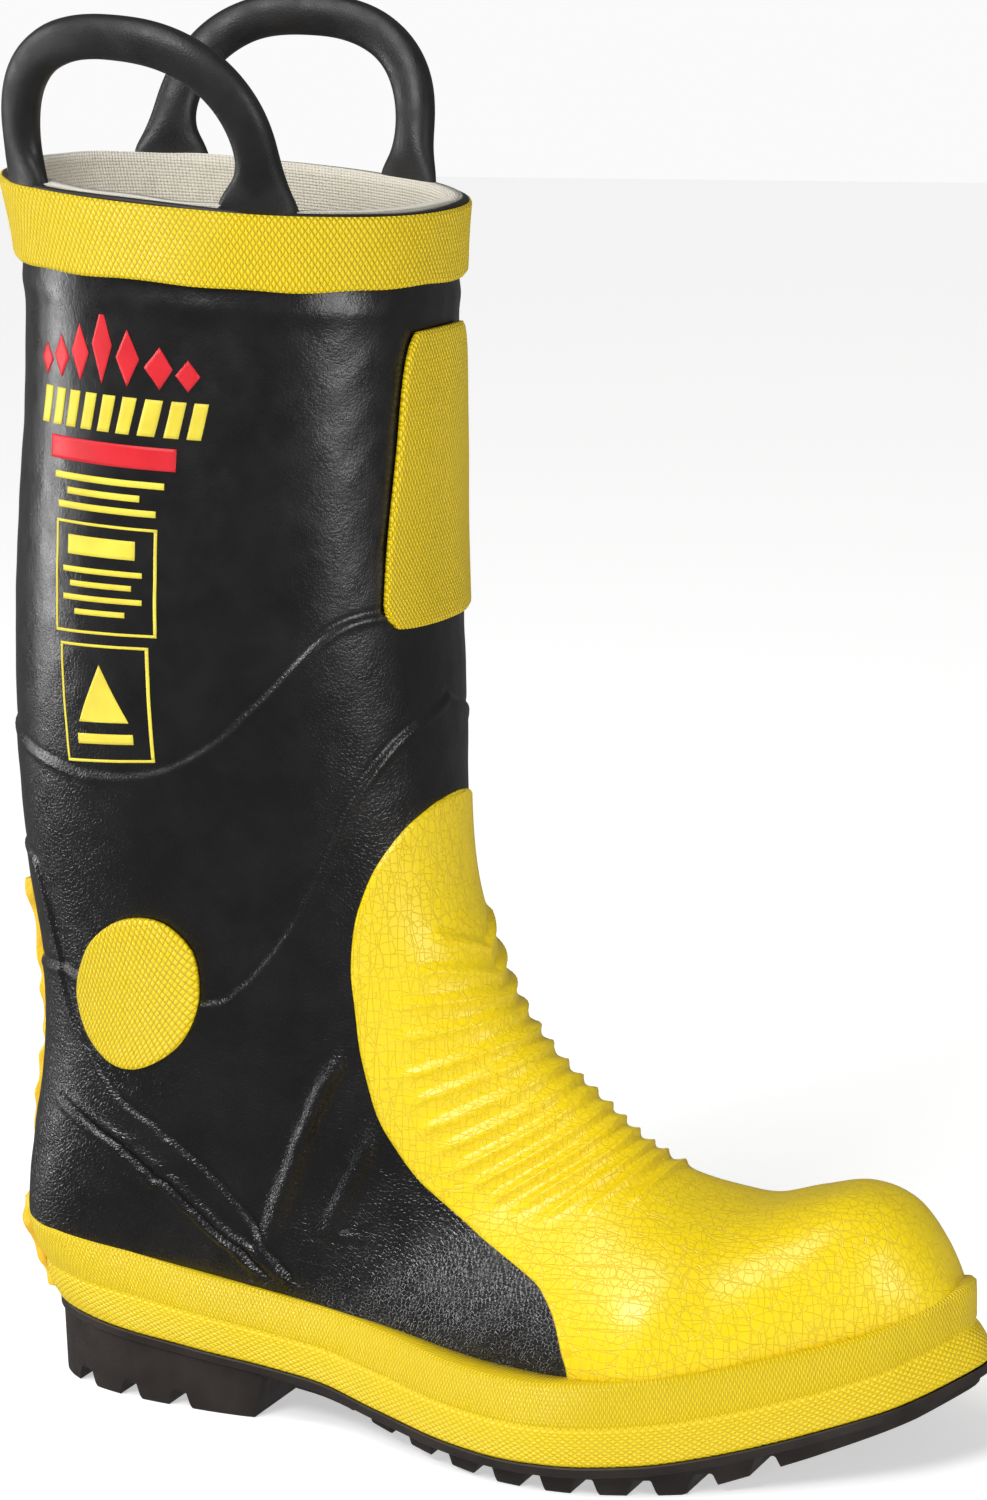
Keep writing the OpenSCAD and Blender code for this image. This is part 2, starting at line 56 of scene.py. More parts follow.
SECTIONS = np.array([
    # front x, z, back x, z, ridge y, half width out, in, widest place, roundness above, below
    [-9.5, 352, -143, 364, 0, 57, 57, 0, 2.2, 2.2],
    [-11.5, 332, -139, 341, 0, 56, 56, 0, 2.2, 2.2],
    [-12.5, 300, -140, 307, 0, 56, 56, 0, 2.2, 2.2],
    [-13.5, 262, -144.5, 266, 0, 56, 56, 0, 2.2, 2.2],
    [-13.2, 232, -148, 230, 0, 55, 55, 0, 2.2, 2.2],
    [-12.8, 204, -149.5, 194, 0, 52, 52, 0, 2.2, 2.2],
    [-12.4, 178, -148.5, 160, 0, 47, 47, 0, 2.2, 2.2],
    [-10, 156, -145, 128, 0, 42, 42, 0, 2.2, 2.3],
    [-4, 138, -146, 100, 0, 39, 39, -0.05, 2.2, 2.4],
    [5, 120, -150, 72, 0, 37, 36, -0.2, 2.2, 2.7],
    [17.5, 105, -150, 46, 0, 35, 34, -0.35, 2.2, 3.4],
    [31, 93.8, -132, 30, 0, 33, 31, -0.45, 2.2, 4.5],
    [43, 84, -70, 24.5, 0, 33.5, 29, -0.5, 2.2, 6],
    [56, 76, 0, 17.2, 0, 46, 35, -0.6, 2.2, 6],
    [68, 71.2, 52, 15.8, 2, 54, 43, -0.7, 2.2, 6],
    [80, 69.6, 77, 18, 4, 48, 42, -0.7, 2.2, 6],
    [94, 73, 93, 20.5, 5, 40, 40, -0.65, 2.3, 6],
    [108, 76, 107, 23.6, 5, 31, 35, -0.6, 2.4, 5],
    [120, 72.8, 119, 27, 6, 24, 28, -0.5, 2.4, 4],
    [129, 63, 128, 29.7, 7, 17, 20, -0.3, 2.3, 3],
    [135, 51, 134.5, 33, 8, 10, 12, -0.1, 2.2, 2.4],
    [138.5, 43, 138.5, 41, 9, 1, 1, 0, 2, 2]])
OUTLINE = np.array([
    # foxing's lower edge x, y, and its upper edge x, y
    [-146, 0, -154.5, 0], [-142, -15.5, -150.5, -17], [-132, -26.5, -139, -27.5],
    [-112, -34.5, -115, -33.8], [-85, -38, -86, -36.5], [-60, -38.7, -60, -36],
    [-40, -41.2, -39.5, -37.5], [-20, -49, -18.5, -44.2], [3, -58, 4, -53.2],
    [25, -63.2, 25, -58.4], [46, -63.5, 45, -58.6], [66, -58, 64, -53.5],
    [88, -47.5, 85.5, -43.4], [108, -36, 105, -32.2], [128, -21.5, 124.2, -18.6],
    [141, -3, 136.4, -1.4], [145.5, 10, 140.7, 10], [141, 24, 136.8, 21.8],
    [128, 36, 124.8, 32.4], [108, 46.5, 106, 42.1], [84, 53, 83.2, 48.3],
    [60, 52.5, 60.4, 47.8], [36, 47.5, 37.2, 42.8], [10, 39, 11, 34.6],
    [-16, 33, -15.8, 29.4], [-44, 32.5, -44.2, 30], [-74, 36, -74.4, 34.2],
    [-104, 35.5, -106, 35], [-128, 28, -134, 29.2], [-141, 15.5, -149.6, 17]])
SOLE_TOP = [(-160, 26), (-121, 22.3), (-90, 20), (-61, 17), (-41, 15), (-30, 13.3), (-8, 11.2),
            (3, 10), (25, 8.7), (46, 9), (70, 10.2), (88, 12.9), (107, 17), (131, 23), (150, 30)]
FOXING_TOP = [(-160, 52.5), (-125, 48.5), (-106, 45.8), (-85, 42.7), (-56, 38.2), (-36, 36),
              (-22, 34.8), (-2, 32.6), (14, 31.3), (35, 31), (46, 31.7), (62, 32.9), (79, 34.8),
              (96, 38), (114, 41.3), (127, 44.8), (145, 53)]
TREAD_LINE = [(-160, 9), (-146, 5), (-139, 0), (-66, 0), (-62, 14.4), (-54, 13.6), (-52, 10.6),
              (-34, 8), (-20, 5.5), (-7, 3.5), (8, 1.5), (22, 0.2), (35, 0), (75, 0), (88, 3.6),
              (107, 9), (131, 16.6), (150, 24.6)]
LAST = len(SECTIONS) - 1
LINING_DEPTH = 6.1
TINY = 1e-6


# ---- Curves and the surface of the upper ----
def height_at(line, x):
    xs, zs = zip(*line)
    return np.interp(x, xs, zs)


def smooth_line(line, x, width=6.0):
    """A height line with its corners rounded over a width."""
    offsets = np.linspace(-width, width, 7)
    return np.mean([height_at(line, x + o) for o in offsets], axis=0)


def blend_of(a, b, c, d, t):
    """A smooth step from b to c that follows on from a and leads to d."""
    square, cube = 2 * a - 5 * b + 4 * c - d, 3 * b - a - 3 * c + d
    return 0.5 * (2 * b + (c - a) * t + square * t ** 2 + cube * t ** 3)


def section_at(v):
    """The row of the sections table at any v, blended between rows."""
    v = np.asarray(v, float)
    i = np.clip(np.floor(v).astype(int), 0, LAST - 1)
    t = (v - i)[..., None]
    padded = np.vstack([2 * SECTIONS[0] - SECTIONS[1], SECTIONS, 2 * SECTIONS[-1] - SECTIONS[-2]])
    return blend_of(padded[i], padded[i + 1], padded[i + 2], padded[i + 3], t)


def skin(v, angle):
    """The upper's outer surface: v runs from the rim (0) to the toe, angle in degrees from the front."""
    v, angle = np.broadcast_arrays(np.asarray(v, float), np.asarray(angle, float))
    s = section_at(v)
    c, w = np.cos(np.radians(angle)), np.sin(np.radians(angle))
    roundness = np.where(c >= 0, s[..., 8], s[..., 9])
    cc, ww = np.abs(c) ** (2 / roundness), np.abs(w) ** (2 / roundness)
    m = s[..., 7]
    along = np.where(c >= 0, m + (1 - m) * cc, m - (1 + m) * cc)
    x = (s[..., 0] + s[..., 2]) / 2 + (s[..., 0] - s[..., 2]) / 2 * along
    y = s[..., 4] + np.where(w >= 0, s[..., 6], -s[..., 5]) * ww
    z = (s[..., 1] + s[..., 3]) / 2 + (s[..., 1] - s[..., 3]) / 2 * along
    return np.stack([x + SHIFT_X, y, z], axis=-1)


def unit(vectors):
    return vectors / np.maximum(np.linalg.norm(vectors, axis=-1, keepdims=True), 1e-9)


def length(vectors):
    return np.linalg.norm(vectors, axis=-1)


def travel_along(points):
    """How far each point lies from the first, measured along the line."""
    return np.concatenate([[0], np.cumsum(length(np.diff(points, axis=0)))])


def signed_power(x, power):
    return np.sign(x) * np.abs(x) ** power


def skin_normal(v, angle):
    v, angle = np.broadcast_arrays(np.asarray(v, float), np.asarray(angle, float))
    v = np.clip(v, 0, LAST - 0.06)
    along = skin(np.clip(v + 0.04, 0, LAST), angle) - skin(np.clip(v - 0.04, 0, LAST), angle)
    across = skin(v, angle + 2.5) - skin(v, angle - 2.5)
    return unit(np.cross(along, across))


def surface(v, angle, depth):
    """Points that stand a depth in millimetres outside the skin."""
    return skin(v, angle) + np.asarray(depth, float)[..., None] * skin_normal(v, angle)


def even_angles(v, count, first=None, last=None):
    """For each row of v, angles from first to last that are evenly spaced along the skin."""
    v = np.asarray(v, float)
    first = np.zeros(len(v)) if first is None else np.broadcast_to(first, len(v))
    last = np.full(len(v), 360.0) if last is None else np.broadcast_to(last, len(v))
    t = np.linspace(0, 1, 721)
    dense = first[:, None] + (last - first)[:, None] * t
    points = skin(v[:, None], dense)
    steps = length(np.diff(points, axis=1))
    travel = np.concatenate([np.zeros((len(v), 1)), np.cumsum(steps, axis=1)], axis=1)
    out = np.empty((len(v), count))
    for row in range(len(v)):
        total = travel[row, -1]
        wanted = np.linspace(0, 1, count) * total
        out[row] = np.interp(wanted, travel[row], dense[row]) if total > TINY else first[row]
    return out


def spread_rows(start, end, count):
    """Values of v that are evenly spaced along the surface, on average round it."""
    dense = np.linspace(start, end, 1200)
    lines = [skin(dense, angle) for angle in range(0, 360, 30)]
    travel = np.mean([length(np.diff(line, axis=0)) for line in lines], axis=0)
    travel = np.concatenate([[0], np.cumsum(travel)])
    return np.interp(np.linspace(0, travel[-1], count), travel, dense)


def foxing_angle(v, side, gap):
    """The angle where a section comes down to the foxing's top edge, found by halving."""
    v = np.asarray(v, float)
    low, high = np.zeros_like(v), np.full_like(v, 176.0)
    for _ in range(16):
        middle = (low + high) / 2
        p = skin(v, side * middle)
        above = p[..., 2] > height_at(FOXING_TOP, p[..., 0] - SHIFT_X) + gap
        low, high = np.where(above, middle, low), np.where(above, high, middle)
    return low


# ---- Smooth seeded noise, and steps of height ----
def waves(points, size, seed, count=9):
    """Smooth noise from -1 to 1 with bumps about that size, in the units of the points."""
    source = np.random.default_rng(seed)
    directions = unit(source.normal(size=(count, points.shape[-1])))
    scale = 2 * math.pi / (size * source.uniform(0.75, 1.6, count))
    phase = source.uniform(0, 2 * math.pi, count)
    return np.sin(points @ directions.T * scale + phase).mean(axis=-1) * 1.9


def ramp(x):
    x = np.clip(x, 0, 1)
    return x * x * (3 - 2 * x)


# ---- Smooth lines through a few points ----
def spline_points(points, steps, closed=False):
    p = np.asarray(points, float)
    ends = [[p[-1]], [p[0], p[1]]] if closed else [[2 * p[0] - p[1]], [2 * p[-1] - p[-2]]]
    padded = np.vstack([ends[0], p, ends[1]])
    t = np.arange(steps)[:, None] / steps
    spans = len(p) if closed else len(p) - 1
    parts = [blend_of(padded[i], padded[i + 1], padded[i + 2], padded[i + 3], t) for i in range(spans)]
    return np.vstack(parts if closed else parts + [p[-1:]])


def line_through(points):
    """A function that follows points in order of their first number, without corners."""
    dense = spline_points(points, 12)
    dense = dense[np.argsort(dense[:, 0], kind="stable")]
    return lambda x: np.interp(x, dense[:, 0], dense[:, 1])


def evenly(points, count):
    """A closed curve's points, spread evenly along it by its first two numbers."""
    closed = np.vstack([points, points[:1]])
    travel = travel_along(closed[:, :2])
    at = np.linspace(0, travel[-1], count, endpoint=False)
    return np.stack([np.interp(at, travel, closed[:, k]) for k in range(closed.shape[1])], axis=1)


def outward(curve):
    """The outward direction at each point of a closed flat curve."""
    along = unit(np.roll(curve, -1, axis=0) - np.roll(curve, 1, axis=0))
    return np.stack([along[:, 1], -along[:, 0]], axis=1)


# ---- Meshes: each is a closed solid made from a grid of points ----
def new_object(name, data):
    obj = bpy.data.objects.new(name, data)
    bpy.context.scene.collection.objects.link(obj)
    return obj


def link(name, vertices, faces, uv=None, period=None):
    """A mesh whose faces point outward. A period is how far u goes before a row closes on itself."""
    vertices = np.asarray(vertices, np.float64).reshape(-1, 3)
    faces = [np.asarray(f, np.int64) for f in faces]
    volume = 0.0
    for f in faces:
        for k in range(1, f.shape[1] - 1):
            a, b, c = vertices[f[:, 0]], vertices[f[:, k]], vertices[f[:, k + 1]]
            volume += np.einsum("ij,ij->i", a, np.cross(b, c)).sum()
    if volume < 0:
        faces = [f[:, ::-1] for f in faces]
    loops = np.concatenate([f.ravel() for f in faces]).astype(np.int32)
    sizes = np.concatenate([np.full(len(f), f.shape[1]) for f in faces]).astype(np.int32)
    starts = np.concatenate([[0], np.cumsum(sizes)[:-1]]).astype(np.int32)
    mesh = bpy.data.meshes.new(name)
    mesh.vertices.add(len(vertices))
    mesh.vertices.foreach_set("co", (vertices * MM).astype(np.float32).ravel())
    mesh.loops.add(len(loops))
    mesh.loops.foreach_set("vertex_index", loops)
    mesh.polygons.add(len(sizes))
    mesh.polygons.foreach_set("loop_start", starts)
    mesh.polygons.foreach_set("loop_total", sizes)
    mesh.update(calc_edges=True)
    if uv is not None:
        corner = np.asarray(uv, np.float64).reshape(-1, 2)[loops]
        if period:
            low = np.repeat(np.minimum.reduceat(corner[:, 0], starts), sizes)
            high = np.repeat(np.maximum.reduceat(corner[:, 0], starts), sizes)
            over = (high - low > period / 2) & (corner[:, 0] < (low + high) / 2)
            corner[over, 0] += period
        layer = mesh.uv_layers.new(name="surface")
        layer.data.foreach_set("uv", (corner * MM).astype(np.float32).ravel())
    mesh.polygons.foreach_set("use_smooth", np.ones(len(sizes), bool))
    return new_object(name, mesh)


def quads(rows, cols, wrap_rows=False, wrap_cols=False, start=0):
    i, k = np.meshgrid(np.arange(rows if wrap_rows else rows - 1),
                       np.arange(cols if wrap_cols else cols - 1), indexing="ij")
    down, right = (i + 1) % rows, (k + 1) % cols
    corners = [i * cols + k, i * cols + right, down * cols + right, down * cols + k]
    return np.stack(corners, axis=-1).reshape(-1, 4) + start


def grid_uv(grid, repeat=None):
    """Millimetres along the columns and down the rows. With a repeat, a row closes on itself."""
    down = length(np.diff(grid, axis=0)).mean(axis=1)
    v = np.concatenate([[0], np.cumsum(down)])[:, None]
    if repeat:
        around = length(np.roll(grid, -1, axis=1) - grid).sum(axis=1).mean()
        period = round(around / repeat) * repeat
        u = np.arange(grid.shape[1]) * period / grid.shape[1]
        return np.stack(np.broadcast_arrays(u, v), axis=-1), period
    across = length(np.diff(grid, axis=1))
    u = np.concatenate([np.zeros((len(grid), 1)), np.cumsum(across, axis=1)], axis=1)
    u -= u[:, [grid.shape[1] // 2]]
    return np.stack(np.broadcast_arrays(u, v), axis=-1), None


def shell(name, outer, inner):
    """A sheet that closes round on itself: rings of points outside, and fewer rings inside."""
    rows, cols = outer.shape[:2]
    n = rows * cols
    last = n + (len(inner) - 1) * cols
    k = np.arange(cols)
    right = (k + 1) % cols
    ends = [np.stack([k, right, right + n, k + n], axis=1),
            np.stack([k + n - cols, right + n - cols, right + last, k + last], axis=1)]
    uv, period = grid_uv(outer, REPEAT)
    inner_uv, _ = grid_uv(inner, REPEAT)
    inner_uv[..., 0] = uv[0, :, 0]
    faces = [quads(rows, cols, wrap_cols=True), quads(len(inner), cols, wrap_cols=True, start=n)[:, ::-1],
             ends[0][:, ::-1], ends[1]]
    return link(name, np.vstack([outer.reshape(-1, 3), inner.reshape(-1, 3)]), faces,
                np.vstack([uv.reshape(-1, 2), inner_uv.reshape(-1, 2)]), period)


def sheet_faces(rows, cols, start=0):
    """A sheet's faces: its outer grid, its inner grid, and the four rims between them."""
    n = rows * cols
    k, i = np.arange(cols - 1), np.arange(rows - 1) * cols
    rims = [[k + 1, k, k + n, k + 1 + n],
            [k + n - cols, k + 1 + n - cols, k + 1 + 2 * n - cols, k + 2 * n - cols],
            [i, i + cols, i + cols + n, i + n],
            [i + 2 * cols - 1, i + cols - 1, i + cols - 1 + n, i + 2 * cols - 1 + n]]
    grids = [quads(rows, cols, start=start), quads(rows, cols, start=start + n)[:, ::-1]]
    return grids + [np.stack(rim, axis=1) + start for rim in rims]


def patch(name, outer, inner):
    """A sheet with four edges, between an outer and an inner grid of the same shape."""
    uv, _ = grid_uv(outer)
    points = np.vstack([outer.reshape(-1, 3), inner.reshape(-1, 3)])
    return link(name, points, sheet_faces(*outer.shape[:2]), np.vstack([uv.reshape(-1, 2)] * 2))


def capped(name, rings, uv=None, period=None):
    """Rings of points from one end to the other, each end closed on its middle."""
    rows, cols = rings.shape[:2]
    n = rows * cols
    k = np.arange(cols)
    right = (k + 1) % cols
    first = np.stack([right, k, np.full(cols, n)], axis=1)
    final = np.stack([k + n - cols, right + n - cols, np.full(cols, n + 1)], axis=1)
    points = np.vstack([rings.reshape(-1, 3), rings[0].mean(axis=0), rings[-1].mean(axis=0)])
    if uv is not None:
        uv = np.vstack([uv.reshape(-1, 2), uv[0].mean(axis=0), uv[-1].mean(axis=0)])
    return link(name, points, [quads(rows, cols, wrap_cols=True), first, final], uv, period)


def finish_piece(obj, material, body, *nodes):
    """Gives a piece its material and body, and the CAD nodes that it is shown in place of."""
    obj.data.materials.append(material)
    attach(obj, body)
    if nodes:
        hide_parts(*nodes)
    return obj


# ---- Materials ----
def add(tree, kind, inputs=None, **settings):
    node = tree.nodes.new("ShaderNode" + kind)
    for key, value in settings.items():
        setattr(node, key, value)
    for key, value in (inputs or {}).items():
        if isinstance(value, bpy.types.NodeSocket):
            tree.links.new(value, node.inputs[key])
        else:
            node.inputs[key].default_value = value
    return node


def maths(tree, operation, a, b=0.0, c=0.0):
    return add(tree, "Math", {0: a, 1: b, 2: c}, operation=operation).outputs[0]


def remap(tree, value, low, high, out_low=0.0, out_high=1.0):
    made = add(tree, "MapRange", {"Value": value, "From Min": low, "From Max": high,
                                  "To Min": out_low, "To Max": out_high}, interpolation_type="SMOOTHSTEP")
    return made.outputs["Result"]


def place_of(tree):
    return add(tree, "TexCoord").outputs["Object"]


def uv_of(tree):
    parts = add(tree, "SeparateXYZ", {0: add(tree, "UVMap", uv_map="surface").outputs[0]})
    return parts.outputs[0], parts.outputs[1]


def noise(tree, size, detail=2.0):
    """Noise with bumps of about a size in millimetres."""
    inputs = {"Vector": place_of(tree), "Scale": 1 / (size * MM), "Detail": detail}
    return add(tree, "TexNoise", inputs).outputs["Fac"]


def cells(tree, size, warp, stretch=(1, 1, 1), turn=(0, 0, 0)):
    """How far it is to the edge of warped cells of about a size in millimetres."""
    place = place_of(tree)
    wander = add(tree, "TexNoise", {"Vector": place, "Scale": 0.4 / (size * MM), "Detail": 2.0})
    bend = add(tree, "VectorMath", {0: wander.outputs["Color"], 1: (0.5, 0.5, 0.5)}, operation="SUBTRACT")
    far = (warp * size * MM,) * 3
    at = add(tree, "VectorMath", {0: bend.outputs[0], 1: far, 2: place}, operation="MULTIPLY_ADD")
    at = add(tree, "Mapping", {"Vector": at.outputs[0], "Rotation": turn, "Scale": stretch})
    inputs = {"Vector": at.outputs[0], "Scale": 1 / (size * MM)}
    return add(tree, "TexVoronoi", inputs, feature="DISTANCE_TO_EDGE").outputs["Distance"]


def stripes(tree, turns):
    """From 0 up to 1 and back, once in each turn."""
    return maths(tree, "ABSOLUTE", maths(tree, "SINE", maths(tree, "MULTIPLY", turns, math.pi)))


def lattice(tree, width, height):
    """Raised dots between two sets of slanted grooves, each dot that wide and high in millimetres."""
    u, v = uv_of(tree)
    across, down = maths(tree, "DIVIDE", u, width * MM), maths(tree, "DIVIDE", v, height * MM)
    one = stripes(tree, maths(tree, "ADD", across, down))
    two = stripes(tree, maths(tree, "SUBTRACT", across, down))
    return maths(tree, "MULTIPLY", one, two)


# The colour sockets of a Mix node, which has a pair for each kind of value.
MIX_A, MIX_B, MIX_MADE = 6, 7, 2


def look(name, colour, roughness, height=None, depth=0.1, tone=None, spread=0.0, mask=None, sockets=None):
    """A material: its bump is depth millimetres deep; the second tone is mixed in at random, or by the mask
    as painted shade.
    """
    material = bpy.data.materials.new(name)
    material.use_nodes = True
    tree = material.node_tree
    shader = tree.nodes["Principled BSDF"]
    shader.inputs["Base Color"].default_value = (*colour, 1)
    shader.inputs["Roughness"].default_value = roughness
    for key, value in (sockets or {}).items():
        shader.inputs[key].default_value = value
    if tone:
        # A mask paints shade into low places; without one, the second tone varies at random.
        amount = mask(tree) if mask else remap(tree, noise(tree, 18, 6), 0.35, 0.7)
        mixed = add(tree, "Mix", {0: amount, MIX_A: (*colour, 1), MIX_B: (*tone, 1)}, data_type="RGBA")
        tree.links.new(mixed.outputs[MIX_MADE], shader.inputs["Base Color"])
    if spread:
        rough = remap(tree, noise(tree, 7, 5), 0.3, 0.72, roughness - spread, roughness + spread)
        tree.links.new(rough, shader.inputs["Roughness"])
    if height:
        bump = add(tree, "Bump", {"Height": height(tree), "Distance": depth * MM, "Strength": 1.0})
        tree.links.new(bump.outputs[0], shader.inputs["Normal"])
    return material


def leather(tree):
    """Orange peel on the leg, and a stronger leather grain low on the foot."""
    grain = remap(tree, cells(tree, 1.25, 0.9), 0.0, 0.25)
    peel = noise(tree, 2.6, 1.5)
    height = add(tree, "SeparateXYZ", {0: place_of(tree)}).outputs[2]
    low = remap(tree, height, 0.27, 0.10, 0.22, 1.0)
    both = maths(tree, "ADD", maths(tree, "MULTIPLY", grain, low), maths(tree, "MULTIPLY", peel, 0.9))
    return maths(tree, "MULTIPLY_ADD", noise(tree, 0.5, 2), 0.12, both)


def crackle(tree):
    """Fine crossed lines pressed into the rubber."""
    one = remap(tree, cells(tree, 2.3, 0.4, (1, 1, 0.16), (0.3, 0.6, 0.2)), 0, 0.045)
    two = remap(tree, cells(tree, 2.7, 0.4, (0.16, 1, 1), (0.2, -0.5, 0.5)), 0, 0.04)
    lines = maths(tree, "MULTIPLY", one, two)
    grain = add(tree, "Attribute", attribute_name="grain").outputs["Fac"]
    rough = maths(tree, "MULTIPLY_ADD", grain, 0.9, 0.22)
    return maths(tree, "MULTIPLY_ADD", noise(tree, 1.0, 3), rough, lines)


def diamonds(tree):
    """The raised dots of the rim's band, the shin pad and the ankle discs."""
    raised = maths(tree, "POWER", lattice(tree, *DIAMOND), 0.7)
    return maths(tree, "MULTIPLY_ADD", noise(tree, 0.7, 2), 0.2, raised)


def knurl(tree):
    """Upright ticks over the foxing's crease, and a wider, lower lattice under it."""
    upper_part = remap(tree, uv_of(tree)[1], -0.0015, 0.001)
    ticks = maths(tree, "MULTIPLY", lattice(tree, *TICK), upper_part)
    under = maths(tree, "MULTIPLY", lattice(tree, *LEVEL), maths(tree, "SUBTRACT", 1.0, upper_part))
    return maths(tree, "MULTIPLY_ADD", noise(tree, 0.8, 2), 0.15, maths(tree, "ADD", ticks, under))


def canvas(tree):
    """Threads that cross, with slubs."""
    over_under = [stripes(tree, maths(tree, "DIVIDE", travel, WEAVE * MM)) for travel in uv_of(tree)]
    threads = maths(tree, "MULTIPLY", maths(tree, "ADD", *over_under), 0.5)
    return maths(tree, "MULTIPLY_ADD", noise(tree, 0.9, 3), 0.8, threads)


def shade_of(height, high, low, most=1.0):
    """A mask of painted shade: it goes from 0 where a height is high to its most where it is low, darkening
    grooves and hollows.
    """
    return lambda tree: remap(tree, height(tree), high, low, 0.0, most)


def fine(size, detail=4):
    """A fine grain of about a size in millimetres."""
    return lambda tree: noise(tree, size, detail)


# Millimetres: a row of dots or threads closes on itself after a whole number of repeats.
REPEAT = 7.2
DIAMOND = (1.8, 2.8)
TICK = (1.2, 2.4)
LEVEL = (2.4, 1.5)
WEAVE = 0.9
YELLOW = (0.93, 0.69, 0.003)
# Painted shade: the darker yellow that is mixed into grooves, crackle lines and hollows, where shade falls.
GROOVE_SHADE_YELLOW = (0.66, 0.44, 0.002)
COAT = {"Coat Weight": 0.12, "Coat Roughness": 0.2}

rubber_black = look("black_rubber", (0.004, 0.0036, 0.004), 0.32, leather, 0.08, (0.008, 0.007, 0.0075),
                    0.05, sockets={"Specular IOR Level": 0.8})
# Painted shade: the crackle lines and low places of the grain are darker.
rubber_yellow = look("yellow_rubber", YELLOW, 0.33, crackle, 0.1, GROOVE_SHADE_YELLOW, 0.05,
                     shade_of(crackle, 0.95, 0.3, 0.5), COAT)
# Painted shade: the grooves between the raised dots are darker.
rubber_diamond = look("yellow_diamond_rubber", YELLOW, 0.36, diamonds, 0.55, GROOVE_SHADE_YELLOW, 0.05,
                      shade_of(diamonds, 0.75, 0.1))
# Painted shade: the knurl's grooves are darker.
rubber_knurl = look("yellow_knurled_rubber", YELLOW, 0.38, knurl, 0.4, GROOVE_SHADE_YELLOW, 0.05,
                    shade_of(knurl, 0.6, 0.05, 0.8))
rubber_lumpy = look("heel_tape_rubber", (0.89, 0.57, 0.005), 0.42, fine(1.1), 0.3,
                    (0.76, 0.42, 0.006), 0.08)
rubber_loop = look("loop_rubber", (0.009, 0.0085, 0.0095), 0.46, fine(0.6), 0.1,
                   (0.017, 0.016, 0.017), 0.09)
rubber_sole = look("sole_rubber", (0.02, 0.015, 0.0135), 0.42, fine(0.8), 0.08,
                   (0.032, 0.024, 0.021), 0.09)
rubber_tape = look("edge_tape", (0.012, 0.011, 0.012), 0.5, fine(0.5), 0.05, (0.02, 0.018, 0.018), 0.05)
# Painted shade: the cloth is darker between the threads and in the low slubs.
cloth = look("canvas_lining", (0.93, 0.88, 0.76), 0.9, canvas, 0.3, (0.68, 0.61, 0.47), 0.0,
             shade_of(canvas, 1.15, 0.45), {"Sheen Weight": 0.25})
red_ink = look("red_ink", (0.72, 0.008, 0.02), 0.45, fine(0.7), 0.04, (0.6, 0.006, 0.015), 0.05)
yellow_ink = look("yellow_ink", (0.84, 0.72, 0.06), 0.45, fine(0.7), 0.04, (0.74, 0.6, 0.04), 0.05)
steel = look("steel", (0.52, 0.53, 0.55), 0.32, fine(0.35), 0.02, (0.42, 0.43, 0.45), 0.07,
             sockets={"Metallic": 1.0})
felt = look("insulating_felt", (0.7, 0.65, 0.53), 0.95, fine(0.9, 8), 0.35, (0.56, 0.51, 0.4), 0.03,
            sockets={"Sheen Weight": 0.3})
board = look("insole_board", (0.5, 0.34, 0.19), 0.8, fine(0.7, 8), 0.1, (0.38, 0.25, 0.13), 0.05)
cork = look("heel_filler", (0.55, 0.36, 0.18), 0.85, fine(2.0, 6), 0.3, (0.35, 0.2, 0.09), 0.05)
sheet_rubber = look("sheet_rubber", (0.03, 0.028, 0.028), 0.6, fine(0.8), 0.08, (0.05, 0.046, 0.045), 0.06)
footbed_felt = look("footbed_felt", (0.08, 0.095, 0.13), 0.92, fine(0.7, 8), 0.3, (0.13, 0.145, 0.18), 0.03,
                    sockets={"Sheen Weight": 0.3})

# ---- Where the details lie: v down the boot, and the angle from the front of the leg ----
SEAM_1 = line_through([(0, 3.74), (39, 3.74), (64, 4.43), (74, 4.75), (85, 5), (94, 5.11), (110, 5.1),
                       (125, 4.99), (161, 4.73), (180, 4.75)])
SEAM_2 = line_through([(0, 4.65), (5, 4.73), (24, 4.97), (40, 5.47), (49, 5.99), (59, 6.57), (67, 6.99),
                       (75, 7.36), (81, 7.58), (90, 7.68), (126, 7.14), (138, 7.02), (180, 6.95)])
COUNTER = line_through([(5.7, 195), (5.75, 180), (5.9, 150), (6.11, 140), (7.06, 135), (7.42, 132),
                        (7.74, 127), (8.2, 117), (8.65, 105), (9, 94.7), (9.16, 91.6), (9.3, 90),
                        (9.44, 88.2), (9.89, 83), (10.52, 80), (11.01, 81), (11.4, 85), (11.8, 90.5),
                        (12.3, 98)])
RIDGE = line_through([(8.51, 130), (8.82, 115), (9.18, 101.1), (9.32, 97.1), (9.46, 93.7), (9.63, 91),
                      (9.78, 89.9), (9.94, 88.3), (10.2, 86.7), (10.57, 85), (11.08, 85), (11.35, 87),
                      (11.81, 92)])
